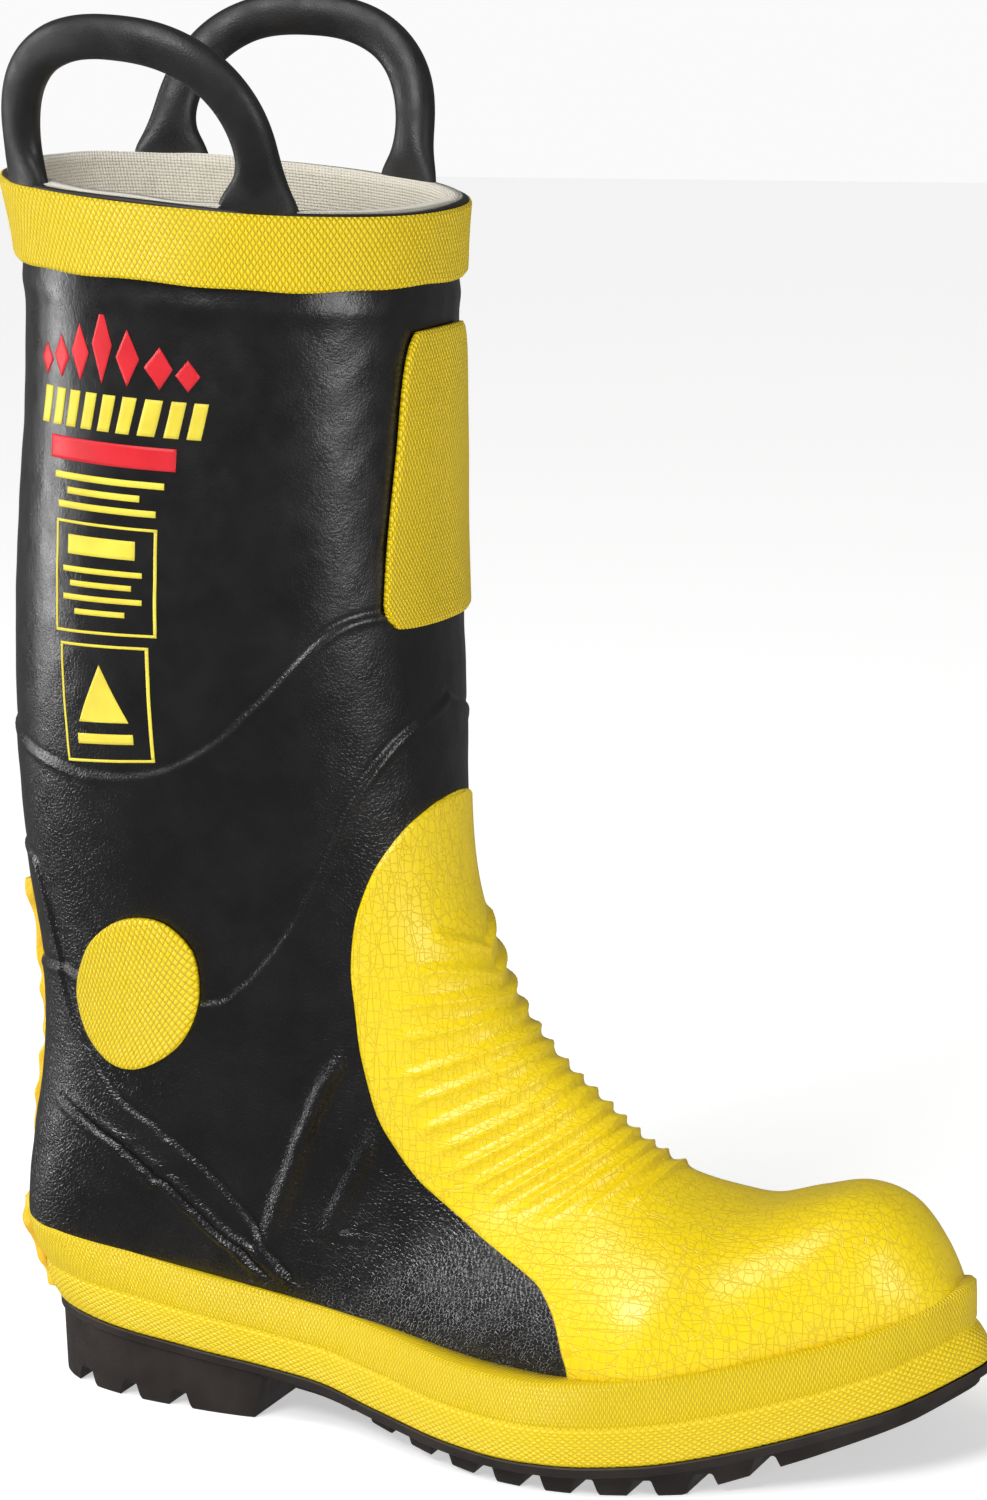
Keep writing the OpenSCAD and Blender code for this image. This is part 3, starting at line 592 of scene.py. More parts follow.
# Each fold: its line, where it starts and ends, and its strength.
FOLDS = [(line_through([(8.59, 54), (9.09, 61.3), (9.63, 66), (10.13, 69.6), (10.67, 74.3), (11.05, 79),
                        (11.42, 86)]), 8.4, 11.6, 1.0),
         (line_through([(9.74, 53), (10.26, 58), (10.86, 65.5), (11.35, 74)]), 9.4, 11.7, 0.85)]
GUARD = line_through([(5.72, 0), (5.745, 6), (5.79, 13), (5.97, 25), (6.31, 36), (6.69, 43), (7.1, 48),
                      (7.74, 52), (8.47, 53), (9.14, 53), (9.76, 53), (10.5, 53), (11.26, 55), (12.07, 60),
                      (12.67, 62), (12.93, 64), (13.22, 70), (13.45, 78), (13.64, 87), (13.9, 110)])
RIB_FRONTS = [7.97, 8.37, 8.71, 9.05, 9.36, 9.65, 9.99, 10.31, 10.62, 10.99, 11.34, 11.71, 12.09, 12.38,
              12.75]
RIB_ENDS = [(7.48, 23), (7.92, 32), (8.33, 40), (8.76, 42), (9.29, 45), (9.71, 45), (10.19, 46),
            (10.63, 46), (11.06, 47), (11.41, 47), (11.75, 48), (12.02, 47), (12.3, 45), (12.54, 36),
            (12.85, 25)]
GUARD_TOP, GUARD_TIP, GUARD_LAP = 5.73, 20.6, 13.64
GUARD_OUT, GUARD_IN = 1.3, -0.9
LEG_OUT, LEG_IN, LEG_END = -1.0, -2.5, 14.6
LEG_COLUMNS = 481
STEP = 0.55
SOLE_EDGES = spline_points(OUTLINE, 40, closed=True)


def folded(angle):
    return np.abs((np.asarray(angle, float) + 180) % 360 - 180)


def distance(f, grid):
    """Millimetres from the line where f is zero, positive where f is."""
    def difference(values):
        return (np.roll(values, -1, axis=1) - np.roll(values, 1, axis=1)) / 2
    down = length(np.gradient(grid, axis=0))
    across = length(difference(grid))
    slope_down = np.gradient(f, axis=0) / np.maximum(down, 1e-4)
    slope_across = difference(f) / np.maximum(across, 1e-4)
    return f / np.maximum(np.hypot(slope_down, slope_across), TINY)


def over(d, width):
    return ramp(d / width + 0.5)


def hump(d, width):
    return np.exp(-(d / width) ** 2)


def within(v, low, high, soft):
    return ramp((v - low) / soft) * ramp((high - v) / soft)


def uneven(points):
    """The hand-laid rubber's unevenness, in millimetres."""
    return 0.2 * waves(points, 34, 3) + 0.08 * waves(points, 11, 5)


def guard_limit(v, side, gap):
    """Half the width of the toe guard, until it goes behind the foxing."""
    meets = foxing_angle(v, side, gap)
    return np.where(v < GUARD_LAP, np.minimum(GUARD(v), meets), meets)


def leg_relief(v, angle, grid):
    """The rubber's depth: seams, counter, ridge and folds, sunk under the toe guard and the foxing."""
    a = folded(angle)
    half = np.where(v < GUARD_LAP, GUARD(v), 180)
    under = distance(half - a, grid) * (v > GUARD_TOP)
    clear = ramp((-under - 1) / 7)
    depth = LEG_OUT + uneven(grid)
    for line in (SEAM_1, SEAM_2):
        seam = distance(v - line(a), grid)
        depth += STEP * over(seam, 1.4) + 0.35 * hump(seam - 1.2, 1.1) - 0.25 * hump(seam + 1.2, 0.9)
    counter = distance(a - COUNTER(v), grid)
    overlay = 0.55 * over(counter, 1.3) + 0.3 * hump(counter - 1.2, 0.9) - 0.45 * hump(counter + 0.8, 0.9)
    depth += ramp((v - 5.7) / 0.1) * ramp((11.95 - v) / 0.35) * overlay
    ridge = distance(a - RIDGE(v), grid)
    lips = 1.0 * hump(ridge - 1.9, 1.3) + 1.2 * hump(ridge + 2.0, 1.4) - 0.9 * hump(ridge, 0.9)
    depth += within(v, 8.3, 11.85, 0.7) * lips
    for line, start, end, strength in FOLDS:
        fold = distance(a - line(v), grid)
        shape = 1.9 * hump(fold, 2.4) - 0.9 * hump(fold - 4.8, 2.5) - 0.8 * hump(fold + 4.8, 2.8)
        depth += strength * within(v, start, end, 0.8) * shape * clear
    depth += 0.55 * hump((v - 1.22) * 30, 3.5)
    depth -= 1.4 * ramp((height_at(FOXING_TOP, grid[..., 0] - SHIFT_X) - grid[..., 2] - 3) / 5)
    lowered = over(under - 2.5, 1.5) * (v > GUARD_TOP + 0.05)
    return depth * (1 - lowered) - 1.2 * lowered


def upper():
    rows = np.concatenate([spread_rows(0, 5.5, 200), spread_rows(5.53, LEG_END, 400)])
    angle = even_angles(rows, LEG_COLUMNS)[:, :-1]
    v = np.broadcast_to(rows[:, None], angle.shape)
    grid = skin(v, angle)
    outer = surface(v, angle, leg_relief(v, angle, grid))
    inner_rows = spread_rows(0, LEG_END, 60)
    inner_angle = even_angles(inner_rows, LEG_COLUMNS)[:, :-1]
    inner = surface(inner_rows[:, None], inner_angle, np.full(inner_angle.shape, LEG_IN))
    obj = shell("upper_rubber", outer, inner)
    finish_piece(obj, rubber_black, "boot", "upper", "ankle_panel", "heel_counter")


def ribs(v, a, mm_down):
    """Rounded ribs across the instep, each from the front to an end on either side."""
    height = np.zeros_like(v)
    for front, (end_v, end_a) in zip(RIB_FRONTS, RIB_ENDS):
        t = a / end_a
        middle = front + (end_v - front) * np.minimum(t, 1.15)
        d = (v - middle) * mm_down
        height += (0.85 * hump(d, 2.0) + 0.75 * hump(d - 0.3, 0.85)) * ramp((1.12 - t) / 0.22)
        height -= 0.4 * hump(d + 3.0, 1.3) * ramp((1.0 - t) / 0.3)
    return height


def toe_guard():
    top_rows = GUARD_TOP + 0.35 * np.linspace(0, 1, 22) ** 1.8
    rows = np.concatenate([top_rows, spread_rows(6.1, GUARD_TIP, 330)])
    angle = even_angles(rows, 261, -guard_limit(rows, -1, -3.5), guard_limit(rows, 1, -3.5))
    v = np.broadcast_to(rows[:, None], angle.shape)
    grid = skin(v, angle)
    mm_down = length(skin(v + 0.02, angle) - skin(v - 0.02, angle)) / 0.04
    edge = length(grid - grid[:, [0]])
    edge = np.minimum(edge, length(grid - grid[:, [-1]]))
    edge = np.minimum(edge, (v - GUARD_TOP) * mm_down)
    free = over((14.5 - v) * 20, 10)
    depth = GUARD_OUT - 0.75 * (1 - ramp(edge / 1.3)) * free + 0.12 * waves(grid, 30, 11)
    depth = depth + ribs(v, folded(angle), mm_down) * ramp(edge / 8)
    inner = np.minimum(GUARD_IN, depth - 0.4)
    obj = patch("toe_guard_rubber", surface(v, angle, depth), surface(v, angle, inner))
    grainy = within(v, 7.4, 13.2, 0.7) * ramp((52 - folded(angle)) / 8)
    attribute = obj.data.attributes.new("grain", "FLOAT", "POINT")
    attribute.data.foreach_set("value", np.tile(grainy.ravel(), 2).astype(np.float32))
    finish_piece(obj, rubber_yellow, "boot", "toe_guard")


def badge(name, outline, middle, thick, material, node, mirror=1):
    """A flat patch with a smooth outline, stuck on the leg: each point is (v, angle)."""
    edge = evenly(spline_points(outline, 16, closed=True) * [30, 1], 220) / [30, 1]
    reach = np.concatenate([np.linspace(0.02, 0.93, 34), [0.955, 0.975, 0.99, 1.0]])
    at = np.asarray(middle) + (edge - middle) * reach[:, None, None]
    v, angle = at[..., 0], at[..., 1] * mirror
    grid = skin(v, angle)
    from_edge = length(grid - grid[-1:])
    depth = thick - 0.55 * (1 - ramp(from_edge / 1.1)) + 0.1 * waves(grid, 20, 21)
    outer = surface(v, angle, depth)
    inner = surface(v, angle, np.full(v.shape, -0.2))[::-1]
    mm_v = np.linalg.norm(skin(middle[0] + 0.1, middle[1]) - skin(middle[0] - 0.1, middle[1])) / 0.2
    mm_a = np.linalg.norm(skin(middle[0], middle[1] + 1) - skin(middle[0], middle[1] - 1)) / 2
    uv = np.stack([(at[..., 1] - middle[1]) * mm_a, (v - middle[0]) * mm_v], axis=-1)
    finish_piece(capped(name, np.concatenate([outer, inner]), np.concatenate([uv, uv[::-1]])),
                 material, "boot", node)


PAD_SIDE = [(1.43, 9), (1.47, 14), (1.77, 18), (2.38, 21), (2.92, 24), (3.4, 26), (3.66, 26.5), (3.8, 24),
            (3.86, 18)]
DISC = [(6.55, 101), (6.61, 110), (6.86, 120), (7.3, 126), (7.79, 122), (8.18, 112), (8.34, 102),
        (8.25, 94.5), (7.99, 91), (7.49, 89.5), (6.98, 90), (6.66, 94)]


def band():
    """The textured band round the rim, pushed out where the loops' feet sit behind it."""
    lines = np.linspace(0, 1, 40)
    angles = even_angles([0.5], 721)[0, :-1]
    lower = 1.0 + 0.012 * np.sin(np.radians(angles * 5)) + 0.008 * np.sin(np.radians(angles * 13 + 40))
    v = lines[:, None] * lower
    angle = np.broadcast_to(angles, v.shape)
    grid = skin(v, angle)
    depth = 1.45 + 0.22 * waves(grid, 30, 31) + 0.1 * waves(grid, 9, 33)
    for foot in FEET:
        near = length(grid - foot)
        depth = depth + 0.9 * np.exp(-(near / 11) ** 2)
    depth = depth - 0.6 * (1 - ramp((lower - v) * 24 / 0.9)) - 0.5 * (1 - ramp(v * 24 / 0.8))
    outer = surface(v, angle, depth)
    outer[0, :, 2] += 0.3
    inner = surface(v[::13], angle[::13], np.full(v[::13].shape, -0.4))
    finish_piece(shell("top_band_rubber", outer, inner), rubber_diamond, "boot", "top_band")


def rim_ring(name, profile, material, node):
    """A ring round the rim from a closed profile of (depth, rise) points."""
    angles = even_angles([0], 721)[0, :-1]
    rise = 0.25 * np.sin(np.radians(angles * 3 + 20)) + 0.15 * np.sin(np.radians(angles * 7))
    rows = []
    for depth, up in profile:
        row = surface(np.zeros(720), angles, np.full(720, depth))
        row[:, 2] += up + rise * (up > 0)
        rows.append(row)
    grid = np.array(rows)
    obj = link(name, grid, [quads(len(grid), 720, wrap_rows=True, wrap_cols=True)])
    finish_piece(obj, material, "boot", node)


def lining():
    rows = spread_rows(0, 20, 300)
    angle = even_angles(rows, 301)[:, :-1]
    v = np.broadcast_to(rows[:, None], angle.shape)
    grid = skin(v, angle)
    soft = 0.35 * waves(grid, 24, 41) + 0.12 * waves(grid, 8, 43)
    inner = surface(v, angle, -LINING_DEPTH + soft * ramp(v / 0.3))
    outer = surface(v, angle, -4.95 + 3.7 * (1 - ramp(v / 0.12)))
    for grid_part in (inner, outer):
        grid_part[0, :, 2] += 1.4 + 0.35 * waves(grid[0], 26, 45)
    rings = np.concatenate([outer[::-1], inner])
    uv, period = grid_uv(rings, REPEAT)
    finish_piece(capped("canvas_lining", rings, uv, period), cloth, "boot", "lining")


def skin_reach(points, out):
    """How far the upper stands outside each point, at the height of the foxing's top edge."""
    found = []
    for side in (-1, 1):
        v = np.linspace(9.3, 20.7, 1800)
        p = skin(v, side * foxing_angle(v, side, 0))
        found.append(np.stack([p[:, 0] - SHIFT_X, p[:, 1]], axis=1))
    away = np.vstack(found)[None] - points[:, None]
    along = np.abs(away[..., 0] * out[:, None, 1] - away[..., 1] * out[:, None, 0])
    far = away[..., 0] * out[:, None, 0] + away[..., 1] * out[:, None, 1]
    far = np.where((along < 1.6) & (np.abs(far) < 25), far, -99)
    reach = far.max(axis=1)
    good = reach > -90
    at = np.arange(len(points))
    return np.interp(at, at[good], reach[good], period=len(points))


CREASE = 0.455


def foxing():
    """The yellow strip round the side of the sole, with its crease at half height."""
    edges = evenly(SOLE_EDGES, 1100)
    low, high = edges[:, :2], edges[:, 2:]
    out = outward(low)
    z_low = smooth_line(SOLE_TOP, low[:, 0]) + 0.1
    z_high = smooth_line(FOXING_TOP, high[:, 0])
    reach = skin_reach(high, out)
    lap = np.interp(high[:, 0], [20, 45], [1.4, 2.3])
    high = high + out * np.maximum(0, reach + lap)[:, None]
    w = np.concatenate([[0, 0.012, 0.035, 0.07], np.linspace(0.1, 0.9, 26),
                        [0.935, 0.965, 0.985, 0.996, 1]])
    low_bulge, high_bulge = np.clip(w / 0.43, 0, 1), np.clip((w - 0.48) / 0.52, 0, 1)
    swell = 0.95 * np.sin(np.pi * low_bulge) + 0.6 * np.sin(np.pi * high_bulge)
    swell = swell - 0.55 * hump(w - CREASE, 0.03)
    swell = swell - 0.8 * (1 - ramp(w / 0.05)) ** 2 - 0.9 * (1 - ramp((1 - w) / 0.05)) ** 2
    toe = ramp((low[:, 0] - 105) / 35)
    grid = []
    for k in range(len(w)):
        between = math.sin(math.pi * w[k])
        flat = low * (1 - w[k]) + high * w[k] - out * (toe * 2.3 * between)[:, None]
        z = z_low * (1 - w[k]) + z_high * w[k]
        wavy = 0.22 * waves(np.column_stack([flat, z]), 22, 51)
        grid.append(np.column_stack([flat + out * (swell[k] + wavy * between)[:, None], z]))
    ledge = edges[:, 2:] + out * (reach - 1.4)[:, None]
    tuck = low - out * 7.8
    grid.append(np.column_stack([ledge, z_high - 0.6]))
    grid.append(np.column_stack([tuck * 0.3 + ledge * 0.7, z_low * 0.6 + z_high * 0.4]))
    grid.append(np.column_stack([tuck, z_low + 5]))
    grid.append(np.column_stack([tuck, z_low]))
    grid = np.array(grid)
    grid[..., 0] += SHIFT_X
    uv, period = grid_uv(grid, REPEAT)
    uv[..., 1] = (np.concatenate([w, [1, 0.5, 0.1, 0]]) - CREASE)[:, None] * (z_high - z_low)
    faces = quads(len(grid), len(low), wrap_rows=True, wrap_cols=True)
    finish_piece(link("foxing_rubber", grid, [faces], uv, period), rubber_knurl, "boot", "foxing_band")


def heel_strip():
    """A lumpy strip of rubber laid down the back of the heel and over the foxing."""
    cols, half = 71, 17.0
    c = np.linspace(-1, 1, cols)
    v = np.linspace(6.25, 9.35, 110)
    reach_deg = np.array([half / (np.linalg.norm(skin(x, 181) - skin(x, 179)) / 2) for x in v])
    angle = 180 + c * reach_deg[:, None]
    top = surface(np.broadcast_to(v[:, None], angle.shape), angle, np.full(angle.shape, 0.7))
    normals = skin_normal(np.broadcast_to(v[:, None], angle.shape), angle)
    at = -c * 1.1 * 40

    def round_heel(values):
        near = np.roll(values, 80, axis=0)[:160]
        return np.stack([np.interp(at, np.arange(-80, 80), column) for column in near.T], axis=1)

    edge, out = round_heel(SOLE_EDGES), round_heel(outward(SOLE_EDGES[:, :2]))
    rows = []
    for w in np.linspace(0.97, 0.06, 46):
        flat = edge[:, :2] * (1 - w) + edge[:, 2:] * w + out * 1.1
        z = height_at(SOLE_TOP, edge[:, 0]) * (1 - w) + height_at(FOXING_TOP, edge[:, 2]) * w
        rows.append(np.column_stack([flat[:, 0] + SHIFT_X, flat[:, 1], z]))
    side = np.column_stack([out, np.zeros(cols)])
    base = np.concatenate([top, np.array(rows)])
    normal = np.concatenate([normals, np.broadcast_to(side, (len(rows), cols, 3))])
    for _ in range(14):
        base[1:-1] = (base[:-2] + base[2:] + 2 * base[1:-1]) / 4
        normal[1:-1] = unit(normal[:-2] + normal[2:] + 2 * normal[1:-1])
    lumps = 0.75 * waves(base, 10, 61) + 0.45 * waves(base, 5, 63) + 1.7
    edge_fall = ramp((1 - np.abs(c)) * half / 1.6)
    rough_edge = 1 + 0.09 * waves(base[:, [0]], 7, 67)
    base = base + (base - base[:, [cols // 2]]) * (rough_edge[..., None] - 1)
    depth = (0.5 + np.maximum(lumps, 0.35) * edge_fall)[..., None]
    finish_piece(patch("heel_strip_rubber", base + normal * depth, base - normal * 0.5),
                 rubber_lumpy, "boot", "heel_strip")


# ---- Outsole ----
HEEL_GROOVES = [-127, -109, -91]
FOREFOOT_GROOVES = [-28, -12.5, 3, 18.5, 34, 49.5, 65, 80.5, 96]
GROOVE_WIDE, GROOVE_TAPER, GROOVE_DEEP = 4.6, 1.6, 4.4
FLANGE = 3.0
ROUND_END = 16


def sides(curve):
    """For a closed outline, its outer and inner y as functions of x."""
    toe = np.argmax(curve[:, 0])
    lateral, medial = curve[: toe + 1], np.vstack([curve[toe:], curve[:1]])[::-1]
    order_l, order_m = np.argsort(lateral[:, 0]), np.argsort(medial[:, 0])
    return (lambda x: np.interp(x, lateral[order_l, 0], lateral[order_l, 1]),
            lambda x: np.interp(x, medial[order_m, 0], medial[order_m, 1]))


def outsole():
    dense = SOLE_EDGES[:, :2]
    out = outward(dense)
    inset = np.interp(dense[:, 0], [-70, -45], [0.9, 3.4])[:, None]
    rim_l, rim_m = sides(dense)
    lug_l, lug_m = sides(dense - out * inset)
    x_low, x_high = dense[:, 0].min(), dense[:, 0].max()
    lug_low, lug_high = (dense - out * inset)[:, 0].min(), (dense - out * inset)[:, 0].max()
    ends = np.sin(np.linspace(0, np.pi / 2, 26))
    corners = [p[0] for p in TREAD_LINE if x_low < p[0] < x_high]
    x = np.concatenate([x_low + ROUND_END * (1 - ends), x_high - ROUND_END * (1 - ends),
                        np.arange(x_low + ROUND_END, x_high - ROUND_END, 3), corners])
    for g in HEEL_GROOVES + FOREFOOT_GROOVES:
        half = GROOVE_WIDE / 2
        for edge in (half + GROOVE_TAPER + 0.25, half + GROOVE_TAPER - 0.25, half + 0.2, half - 0.4):
            x = np.concatenate([x, [g - edge, g + edge]])
    x = np.unique(np.round(x, 3))
    x = x[np.concatenate([[True], np.diff(x) > 0.12])]
    z_top = smooth_line(SOLE_TOP, x)
    z_flange = z_top - FLANGE
    tread = height_at(TREAD_LINE, x)
    for g in HEEL_GROOVES + FOREFOOT_GROOVES:
        cut = np.clip((GROOVE_WIDE / 2 + GROOVE_TAPER - np.abs(x - g)) / GROOVE_TAPER, 0, 1)
        tread = np.where(cut > 0, np.maximum(tread, height_at(TREAD_LINE, g) + cut * GROOVE_DEEP), tread)
    tread = np.where((x < lug_low) | (x > lug_high), z_flange, tread)
    tread = np.minimum(tread, z_flange - 0.05)
    y_l, y_m = rim_l(x), rim_m(x)
    w_l = np.maximum(lug_l(x), y_l + 0.6)
    w_m = np.minimum(lug_m(x), y_m - 0.6)
    w_l, w_m = np.minimum(w_l, (y_l + y_m) / 2), np.maximum(w_m, (y_l + y_m) / 2)
    wide = w_m - w_l
    bevel = np.minimum(0.7, wide / 4)
    slope = np.minimum(0.5, wide / 4)
    thin = np.minimum(0.5, (y_m - y_l) / 4)
    section = [(w_l + slope, tread + bevel), (w_l + slope + bevel, tread)]
    level = wide - 2 * bevel - 2 * slope
    section += [(w_l + bevel + slope + level * t, tread) for t in np.linspace(0.05, 0.95, 12)]
    section += [(w_m - slope - bevel, tread), (w_m - slope, tread + bevel), (w_m, z_flange),
                (y_m - thin, z_flange), (y_m, z_flange + 0.5), (y_m, z_top - 0.4), (y_m - thin, z_top)]
    section += [(y_m + (y_l - y_m) * t, z_top) for t in np.linspace(0.2, 0.8, 4)]
    section += [(y_l + thin, z_top), (y_l, z_top - 0.4), (y_l, z_flange + 0.5), (y_l + thin, z_flange),
                (w_l, z_flange)]
    rings = np.stack([np.stack([x + SHIFT_X, y, z], axis=1) for y, z in section], axis=1)
    obj = capped("outsole_rubber", rings)
    obj.data.set_sharp_from_angle(angle=math.radians(32))
    finish_piece(obj, rubber_sole, "boot", "outsole")


# ---- Pull loops: side is -1 outside and 1 inside ----
BACK_FOOT, FRONT_FOOT = (-120, 44, 361.9), (-43, 48.6, 355)
AXIS_RISE, LOOP_RISE, LOOP_LEAN, LOOP_ROUND = 9.2, 36, 14, 2.4
LOOP_HALF, LOOP_THICK = 6.2, 4.3
FEET = [np.array([f[0] + SHIFT_X, s * f[1], f[2]]) for f in (BACK_FOOT, FRONT_FOOT) for s in (-1, 1)]


def loop(side, name, *nodes):
    """A pull loop and its two feet, in one piece that bends at the rim."""
    back = np.array([BACK_FOOT[0] + SHIFT_X, side * BACK_FOOT[1], BACK_FOOT[2] + AXIS_RISE])
    front = np.array([FRONT_FOOT[0] + SHIFT_X, side * FRONT_FOOT[1], FRONT_FOOT[2] + AXIS_RISE])
    along = unit(front - back)
    out = side * unit(np.cross([0, 0, 1], along))
    up = side * np.cross(along, out)
    half, middle = np.linalg.norm(front - back) / 2, (front + back) / 2

    def centre(t):
        c, s = np.cos(t), np.maximum(np.sin(t), 0)
        c, s = signed_power(c, 2 / LOOP_ROUND), s ** (2 / LOOP_ROUND)
        arched = middle + np.outer(half * c, along) + np.outer(LOOP_RISE * s, up)
        return arched + np.outer(LOOP_LEAN * s ** 1.3, out)

    arch = centre(np.linspace(0, np.pi, 121))
    legs = np.linspace(-(AXIS_RISE + 3.2), 0, 16)[:-1, None] * up
    path = np.vstack([arch[0] + legs, arch, (arch[-1] + legs)[::-1]])
    for _ in range(6):
        path[1:-1] = (path[:-2] + path[2:] + 2 * path[1:-1]) / 4
    forward = unit(np.gradient(path, axis=0))
    above = np.maximum((path - back) @ up + AXIS_RISE, 0)
    angles = np.linspace(30, 150, 1200) * side
    wall = surface(np.zeros(1200), angles, np.full(1200, -2.3))
    near = [np.argmin(length(wall[:, :2] - f[:2])) for f in (back, front)]
    first = np.arange(len(path)) < len(path) // 2
    wall_out = [unit(skin_normal(0, angles[n]) * [1, 1, 0]) for n in near]
    twist = np.exp(-(above / 20) ** 2)[:, None]
    face = np.where(first[:, None], wall_out[1], wall_out[0]) * twist + out * (1 - twist)
    face = unit(face - forward * np.sum(forward * face, axis=1)[:, None])
    across = np.cross(forward, face)
    flare = np.exp(-(above / 8) ** 2)
    wide = LOOP_HALF + 5.2 * flare + 0.12 * waves(path, 16, 71)
    thick = LOOP_THICK - 1.1 * flare
    turn = np.linspace(0, 2 * np.pi, 36, endpoint=False)
    c, s = signed_power(np.cos(turn), 0.88), signed_power(np.sin(turn), 0.88)
    sideways = (wide[:, None] * c)[..., None] * across[:, None]
    rings = path[:, None] + sideways + (thick[:, None] * s)[..., None] * face[:, None]
    travel = travel_along(wall)
    for half_path, n, foot in ((first, near[1], front), (~first, near[0], back)):
        points = rings[half_path]
        tangent = unit((wall[n + 5] - wall[n - 5]) * [1, 1, 0])
        reach = (points - foot) @ tangent
        target = np.stack([np.interp(travel[n] + reach, travel, wall[:, k]) for k in range(3)], axis=-1)
        straight = foot + reach[..., None] * tangent
        straight[..., 2] = wall[n, 2]
        rings[half_path] = points + (target - straight) * [1, 1, 0.6] * flare[half_path][:, None, None]
    obj = capped(name, rings)
    obj.data.materials.append(rubber_loop)
    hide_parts(*nodes)
    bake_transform(obj)
    return obj


# ---- Plain printed marks on the outside of the leg, laid out in millimetres ----
PRINT_ANGLE, PRINT_TOP = -103, 1.21


def print_piece(name, shapes, material):
    """Thin ink shapes, each a grid of points (across, down) from the middle of the print's top."""
    dense = np.linspace(0.9, 5.2, 400)
    line = skin(dense, PRINT_ANGLE)
    travel = travel_along(line)
    travel -= np.interp(PRINT_TOP, dense, travel)
    vertices, faces, start = [], [], 0
    for grid in shapes:
        v = np.interp(grid[..., 1], travel, dense)
        mm = length(skin(v, PRINT_ANGLE + 1) - skin(v, PRINT_ANGLE - 1)) / 2
        angle = PRINT_ANGLE + grid[..., 0] / mm
        depth = LEG_OUT + uneven(skin(v, angle))
        outer, inner = surface(v, angle, depth + 0.14), surface(v, angle, depth - 0.12)
        faces += sheet_faces(*grid.shape[:2], start)
        vertices += [outer.reshape(-1, 3), inner.reshape(-1, 3)]
        start += 2 * grid.shape[0] * grid.shape[1]
    finish_piece(link(name, np.vstack(vertices), faces), material, "boot")


def four_sided(corners, step=1.2):
    """A grid inside four corners, given in order round the shape."""
    a, b, c, d = (np.asarray(p, float) for p in corners)
    cols = max(2, int(np.ceil(max(np.linalg.norm(b - a), np.linalg.norm(c - d)) / step)) + 1)
    rows = max(2, int(np.ceil(max(np.linalg.norm(d - a), np.linalg.norm(c - b)) / step)) + 1)
    s, t = np.linspace(0, 1, cols)[None, :, None], np.linspace(0, 1, rows)[:, None, None]
    return (a * (1 - s) + b * s) * (1 - t) + (d * (1 - s) + c * s) * t


def bar(left, right, top, bottom, slant=0.0):
    return four_sided([(left + slant, top), (right + slant, top), (right, bottom), (left, bottom)])


def frame_of(half, top, bottom, line=0.8):
    inner_top, inner_bottom = top + line, bottom - line
    return [bar(-half, half, top, inner_top), bar(-half, half, inner_bottom, bottom),
            bar(-half, line - half, inner_top, inner_bottom),
            bar(half - line, half, inner_top, inner_bottom)]


def centred(*rows):
    """Bars that lie across the print's middle: half the width, the top and the bottom of each."""
    return [bar(-half, half, top, bottom) for half, top, bottom in rows]


def prints():
    sizes = [(-25, 9), (-17, 12), (-8.5, 16), (0, 22), (8.5, 16), (17, 12), (25, 9)]
    diamonds_red = [four_sided([(x, 24 - tall), (x + 3.6, 24 - tall / 2), (x, 24), (x - 3.6, 24 - tall / 2)])
                    for x, tall in sizes]
    print_piece("print_red_marks", diamonds_red + centred((22, 40.5, 47)), red_ink)
    slanted = [bar(x, x + 4.2, 27, 37.5, 2.2) for x in np.arange(-28, 26, 6.6)]
    lines = centred((19, 50.5, 52.4), (13, 54.6, 56.5), (17, 58.7, 60.6))
    first = frame_of(17.5, 64, 96) + centred((12, 68, 73.5), (14, 77, 78.6), (11, 81, 82.6),
                                             (14, 85, 86.6), (9, 89, 90.6))
    triangle = four_sided([(-9, 122), (0, 105), (9, 122), (0, 122)])
    second = frame_of(15.5, 99, 134) + [triangle] + centred((10, 125.5, 128.5))
    print_piece("print_yellow_marks", slanted + lines + first + second, yellow_ink)


# ---- Footbed: a soft insole that lies loose in the foot ----
def footbed():
    low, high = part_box("footbed")
    x0, x1 = low[0] / MM - SHIFT_X, high[0] / MM - SHIFT_X
    dense = SOLE_EDGES[:, :2]
    lateral, medial = sides(dense)
    x = x0 + (x1 - x0) * (1 - np.cos(np.linspace(0.03, np.pi - 0.03, 150))) / 2
    end = np.sqrt(np.clip(1 - ((x - (x0 + x1) / 2) / ((x1 - x0) / 2)) ** 2, 0, 1)) ** 0.55
    l, m = lateral(x) + 28, medial(x) - 28
    centre, half = (l + m) / 2, np.maximum((m - l) / 2, 3) * end
    base = smooth_line(SOLE_TOP, x) + 14.0
    turn = np.linspace(0, 2 * np.pi, 48, endpoint=False)
    c, s = np.cos(turn), np.sin(turn)
    y = centre[:, None] + half[:, None] * signed_power(c, 0.45)
    z = base[:, None] + 2.0 + (1.95 * end[:, None]) * signed_power(s, 0.5)
    rings = np.stack([np.broadcast_to(x[:, None] + SHIFT_X, y.shape), y, z], axis=-1)
    finish_piece(capped("footbed_felt", rings), footbed_felt, "footbed", "footbed")


RIM_PROFILE = [(0.3, -0.8), (0.45, 0.3), (0.1, 0.8), (-0.7, 1.0), (-1.3, 0.8), (-1.5, 0.3), (-1.5, -0.8)]
HIDDEN_PARTS = {"heel_filler": cork, "midsole_sheet": sheet_rubber, "shank": steel, "steel_midsole": steel,
                "insole_board": board, "insulation_layer": felt, "steel_toe_cap": steel,
                "toe_cap_bumper": sheet_rubber}

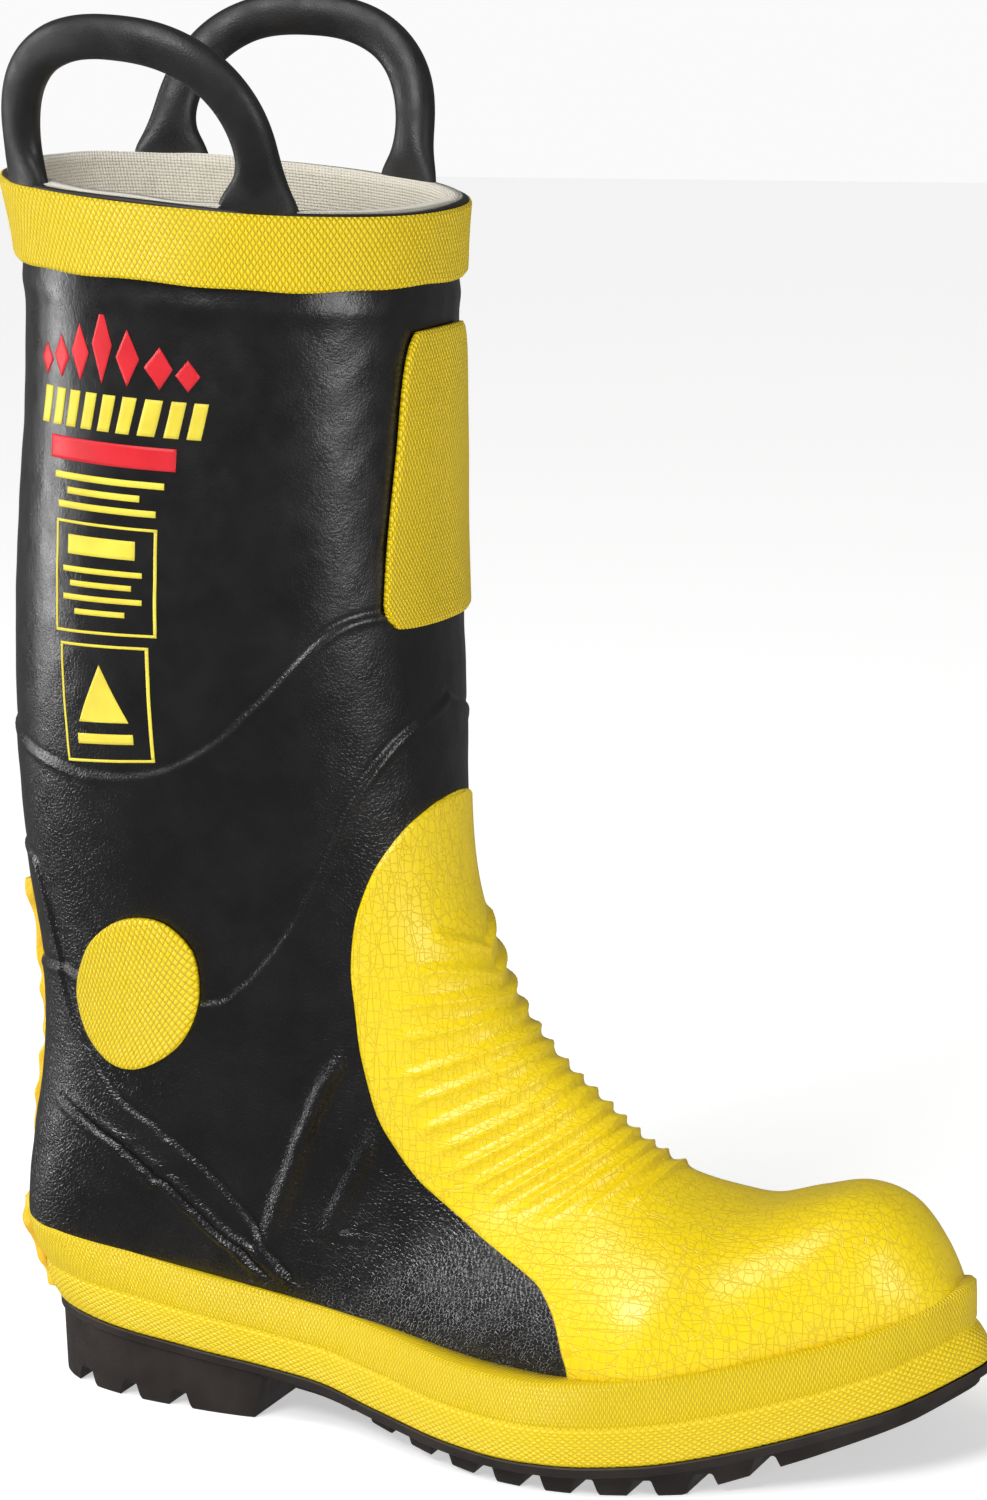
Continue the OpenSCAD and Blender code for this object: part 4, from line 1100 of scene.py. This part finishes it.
upper()
toe_guard()
pad = [(v, -a) for v, a in PAD_SIDE] + [(v, a) for v, a in PAD_SIDE[::-1]]
badge("shin_pad_rubber", pad, (2.7, 0), 1.8, rubber_diamond, "shin_pad")
badge("outer_ankle_disc_rubber", DISC, (7.42, 107), 1.6, rubber_diamond, "outer_ankle_disc", -1)
badge("inner_ankle_disc_rubber", DISC, (7.42, 107), 1.6, rubber_diamond, "inner_ankle_disc")
band()
rim_ring("rim_tape_rubber", RIM_PROFILE, rubber_tape, "rim_tape")
lining()
foxing()
heel_strip()
outsole()
loop(-1, "outer_loop_rubber", "outer_pull_loop", "outer_loop_anchors")
loop(1, "inner_loop_rubber", "inner_pull_loop", "inner_loop_anchors")
prints()
footbed()
for node, material in HIDDEN_PARTS.items():
    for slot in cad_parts[node].material_slots:
        slot.material = material

# ---- Floor, light and camera ----
floor_mesh = bpy.data.meshes.new("floor")
floor_mesh.from_pydata([(-4, -4, 0), (4, -4, 0), (4, 4, 0), (-4, 4, 0)], [], [(0, 1, 2, 3)])
floor = new_object("floor", floor_mesh)
floor.data.materials.append(look("pale_floor", (0.8, 0.8, 0.795), 0.9, fine(30), 0.05, sockets={
    "Emission Color": (1, 1, 1, 1), "Emission Strength": 0.52}))
# The black rubber mirrors the dim world and the lights, and not the bright floor.
floor.visible_glossy = False

# The world lights the boot dimly, and looks brighter by WORLD_SEEN where the camera sees it.
WORLD_LIGHT, WORLD_SEEN = 0.15, 0.81
world = bpy.data.worlds.new("studio")
world.use_nodes = True
backdrop = world.node_tree.nodes["Background"]
backdrop.inputs["Color"].default_value = (1, 1, 1, 1)
seen = add(world.node_tree, "LightPath").outputs["Is Camera Ray"]
strength = maths(world.node_tree, "MULTIPLY_ADD", seen, WORLD_SEEN, WORLD_LIGHT)
world.node_tree.links.new(strength, backdrop.inputs["Strength"])
bpy.context.scene.world = world
bpy.context.scene.view_settings.view_transform = "Standard"


def softbox(name, location, width, height, power):
    light = bpy.data.lights.new(name, "AREA")
    light.shape, light.size, light.size_y, light.energy = "RECTANGLE", width, height, power
    obj = new_object(name, light)
    obj.location = location
    aim = Vector((0, 0, 0.2)) - Vector(location)
    obj.rotation_euler = aim.to_track_quat("-Z", "Y").to_euler()


def sun(direction, strength, spread):
    light = bpy.data.lights.new("sun", "SUN")
    light.energy, light.angle = strength, math.radians(spread)
    new_object("sun", light).rotation_euler = Vector(direction).to_track_quat("Z", "Y").to_euler()


sun((-0.25, -0.55, 1.0), 1.2, 35)
softbox("key", (1.6, -0.7, 0.5), 0.6, 0.9, 9)
softbox("front", (-0.3, -1.2, 1.1), 0.5, 0.35, 9)
softbox("side", (-1.4, -0.25, 0.45), 0.3, 1.2, 9)

AZIMUTH, ELEVATION, ROLL = math.radians(24.8), math.radians(11.9), math.radians(-1.5)
DISTANCE, FOCAL, AIM_RIGHT, AIM_UP, AIM_HEIGHT = 1300, 108.72, 0.43, 7.7, 190


def camera():
    back = Vector((math.sin(AZIMUTH) * math.cos(ELEVATION), -math.cos(AZIMUTH) * math.cos(ELEVATION),
                   math.sin(ELEVATION)))
    right = Vector((math.cos(AZIMUTH), math.sin(AZIMUTH), 0))
    up = back.cross(right)
    aim = Vector((SHIFT_X, 0, AIM_HEIGHT)) + right * AIM_RIGHT + up * AIM_UP
    rolled_right = right * math.cos(ROLL) + up * math.sin(ROLL)
    rolled_up = up * math.cos(ROLL) - right * math.sin(ROLL)
    data = bpy.data.cameras.new("camera")
    data.lens, data.sensor_width = FOCAL, 36
    obj = new_object("camera", data)
    turn = Matrix((rolled_right, rolled_up, back)).transposed().to_4x4()
    obj.matrix_world = Matrix.Translation((aim + back * DISTANCE) * MM) @ turn
    bpy.context.scene.camera = obj


camera()
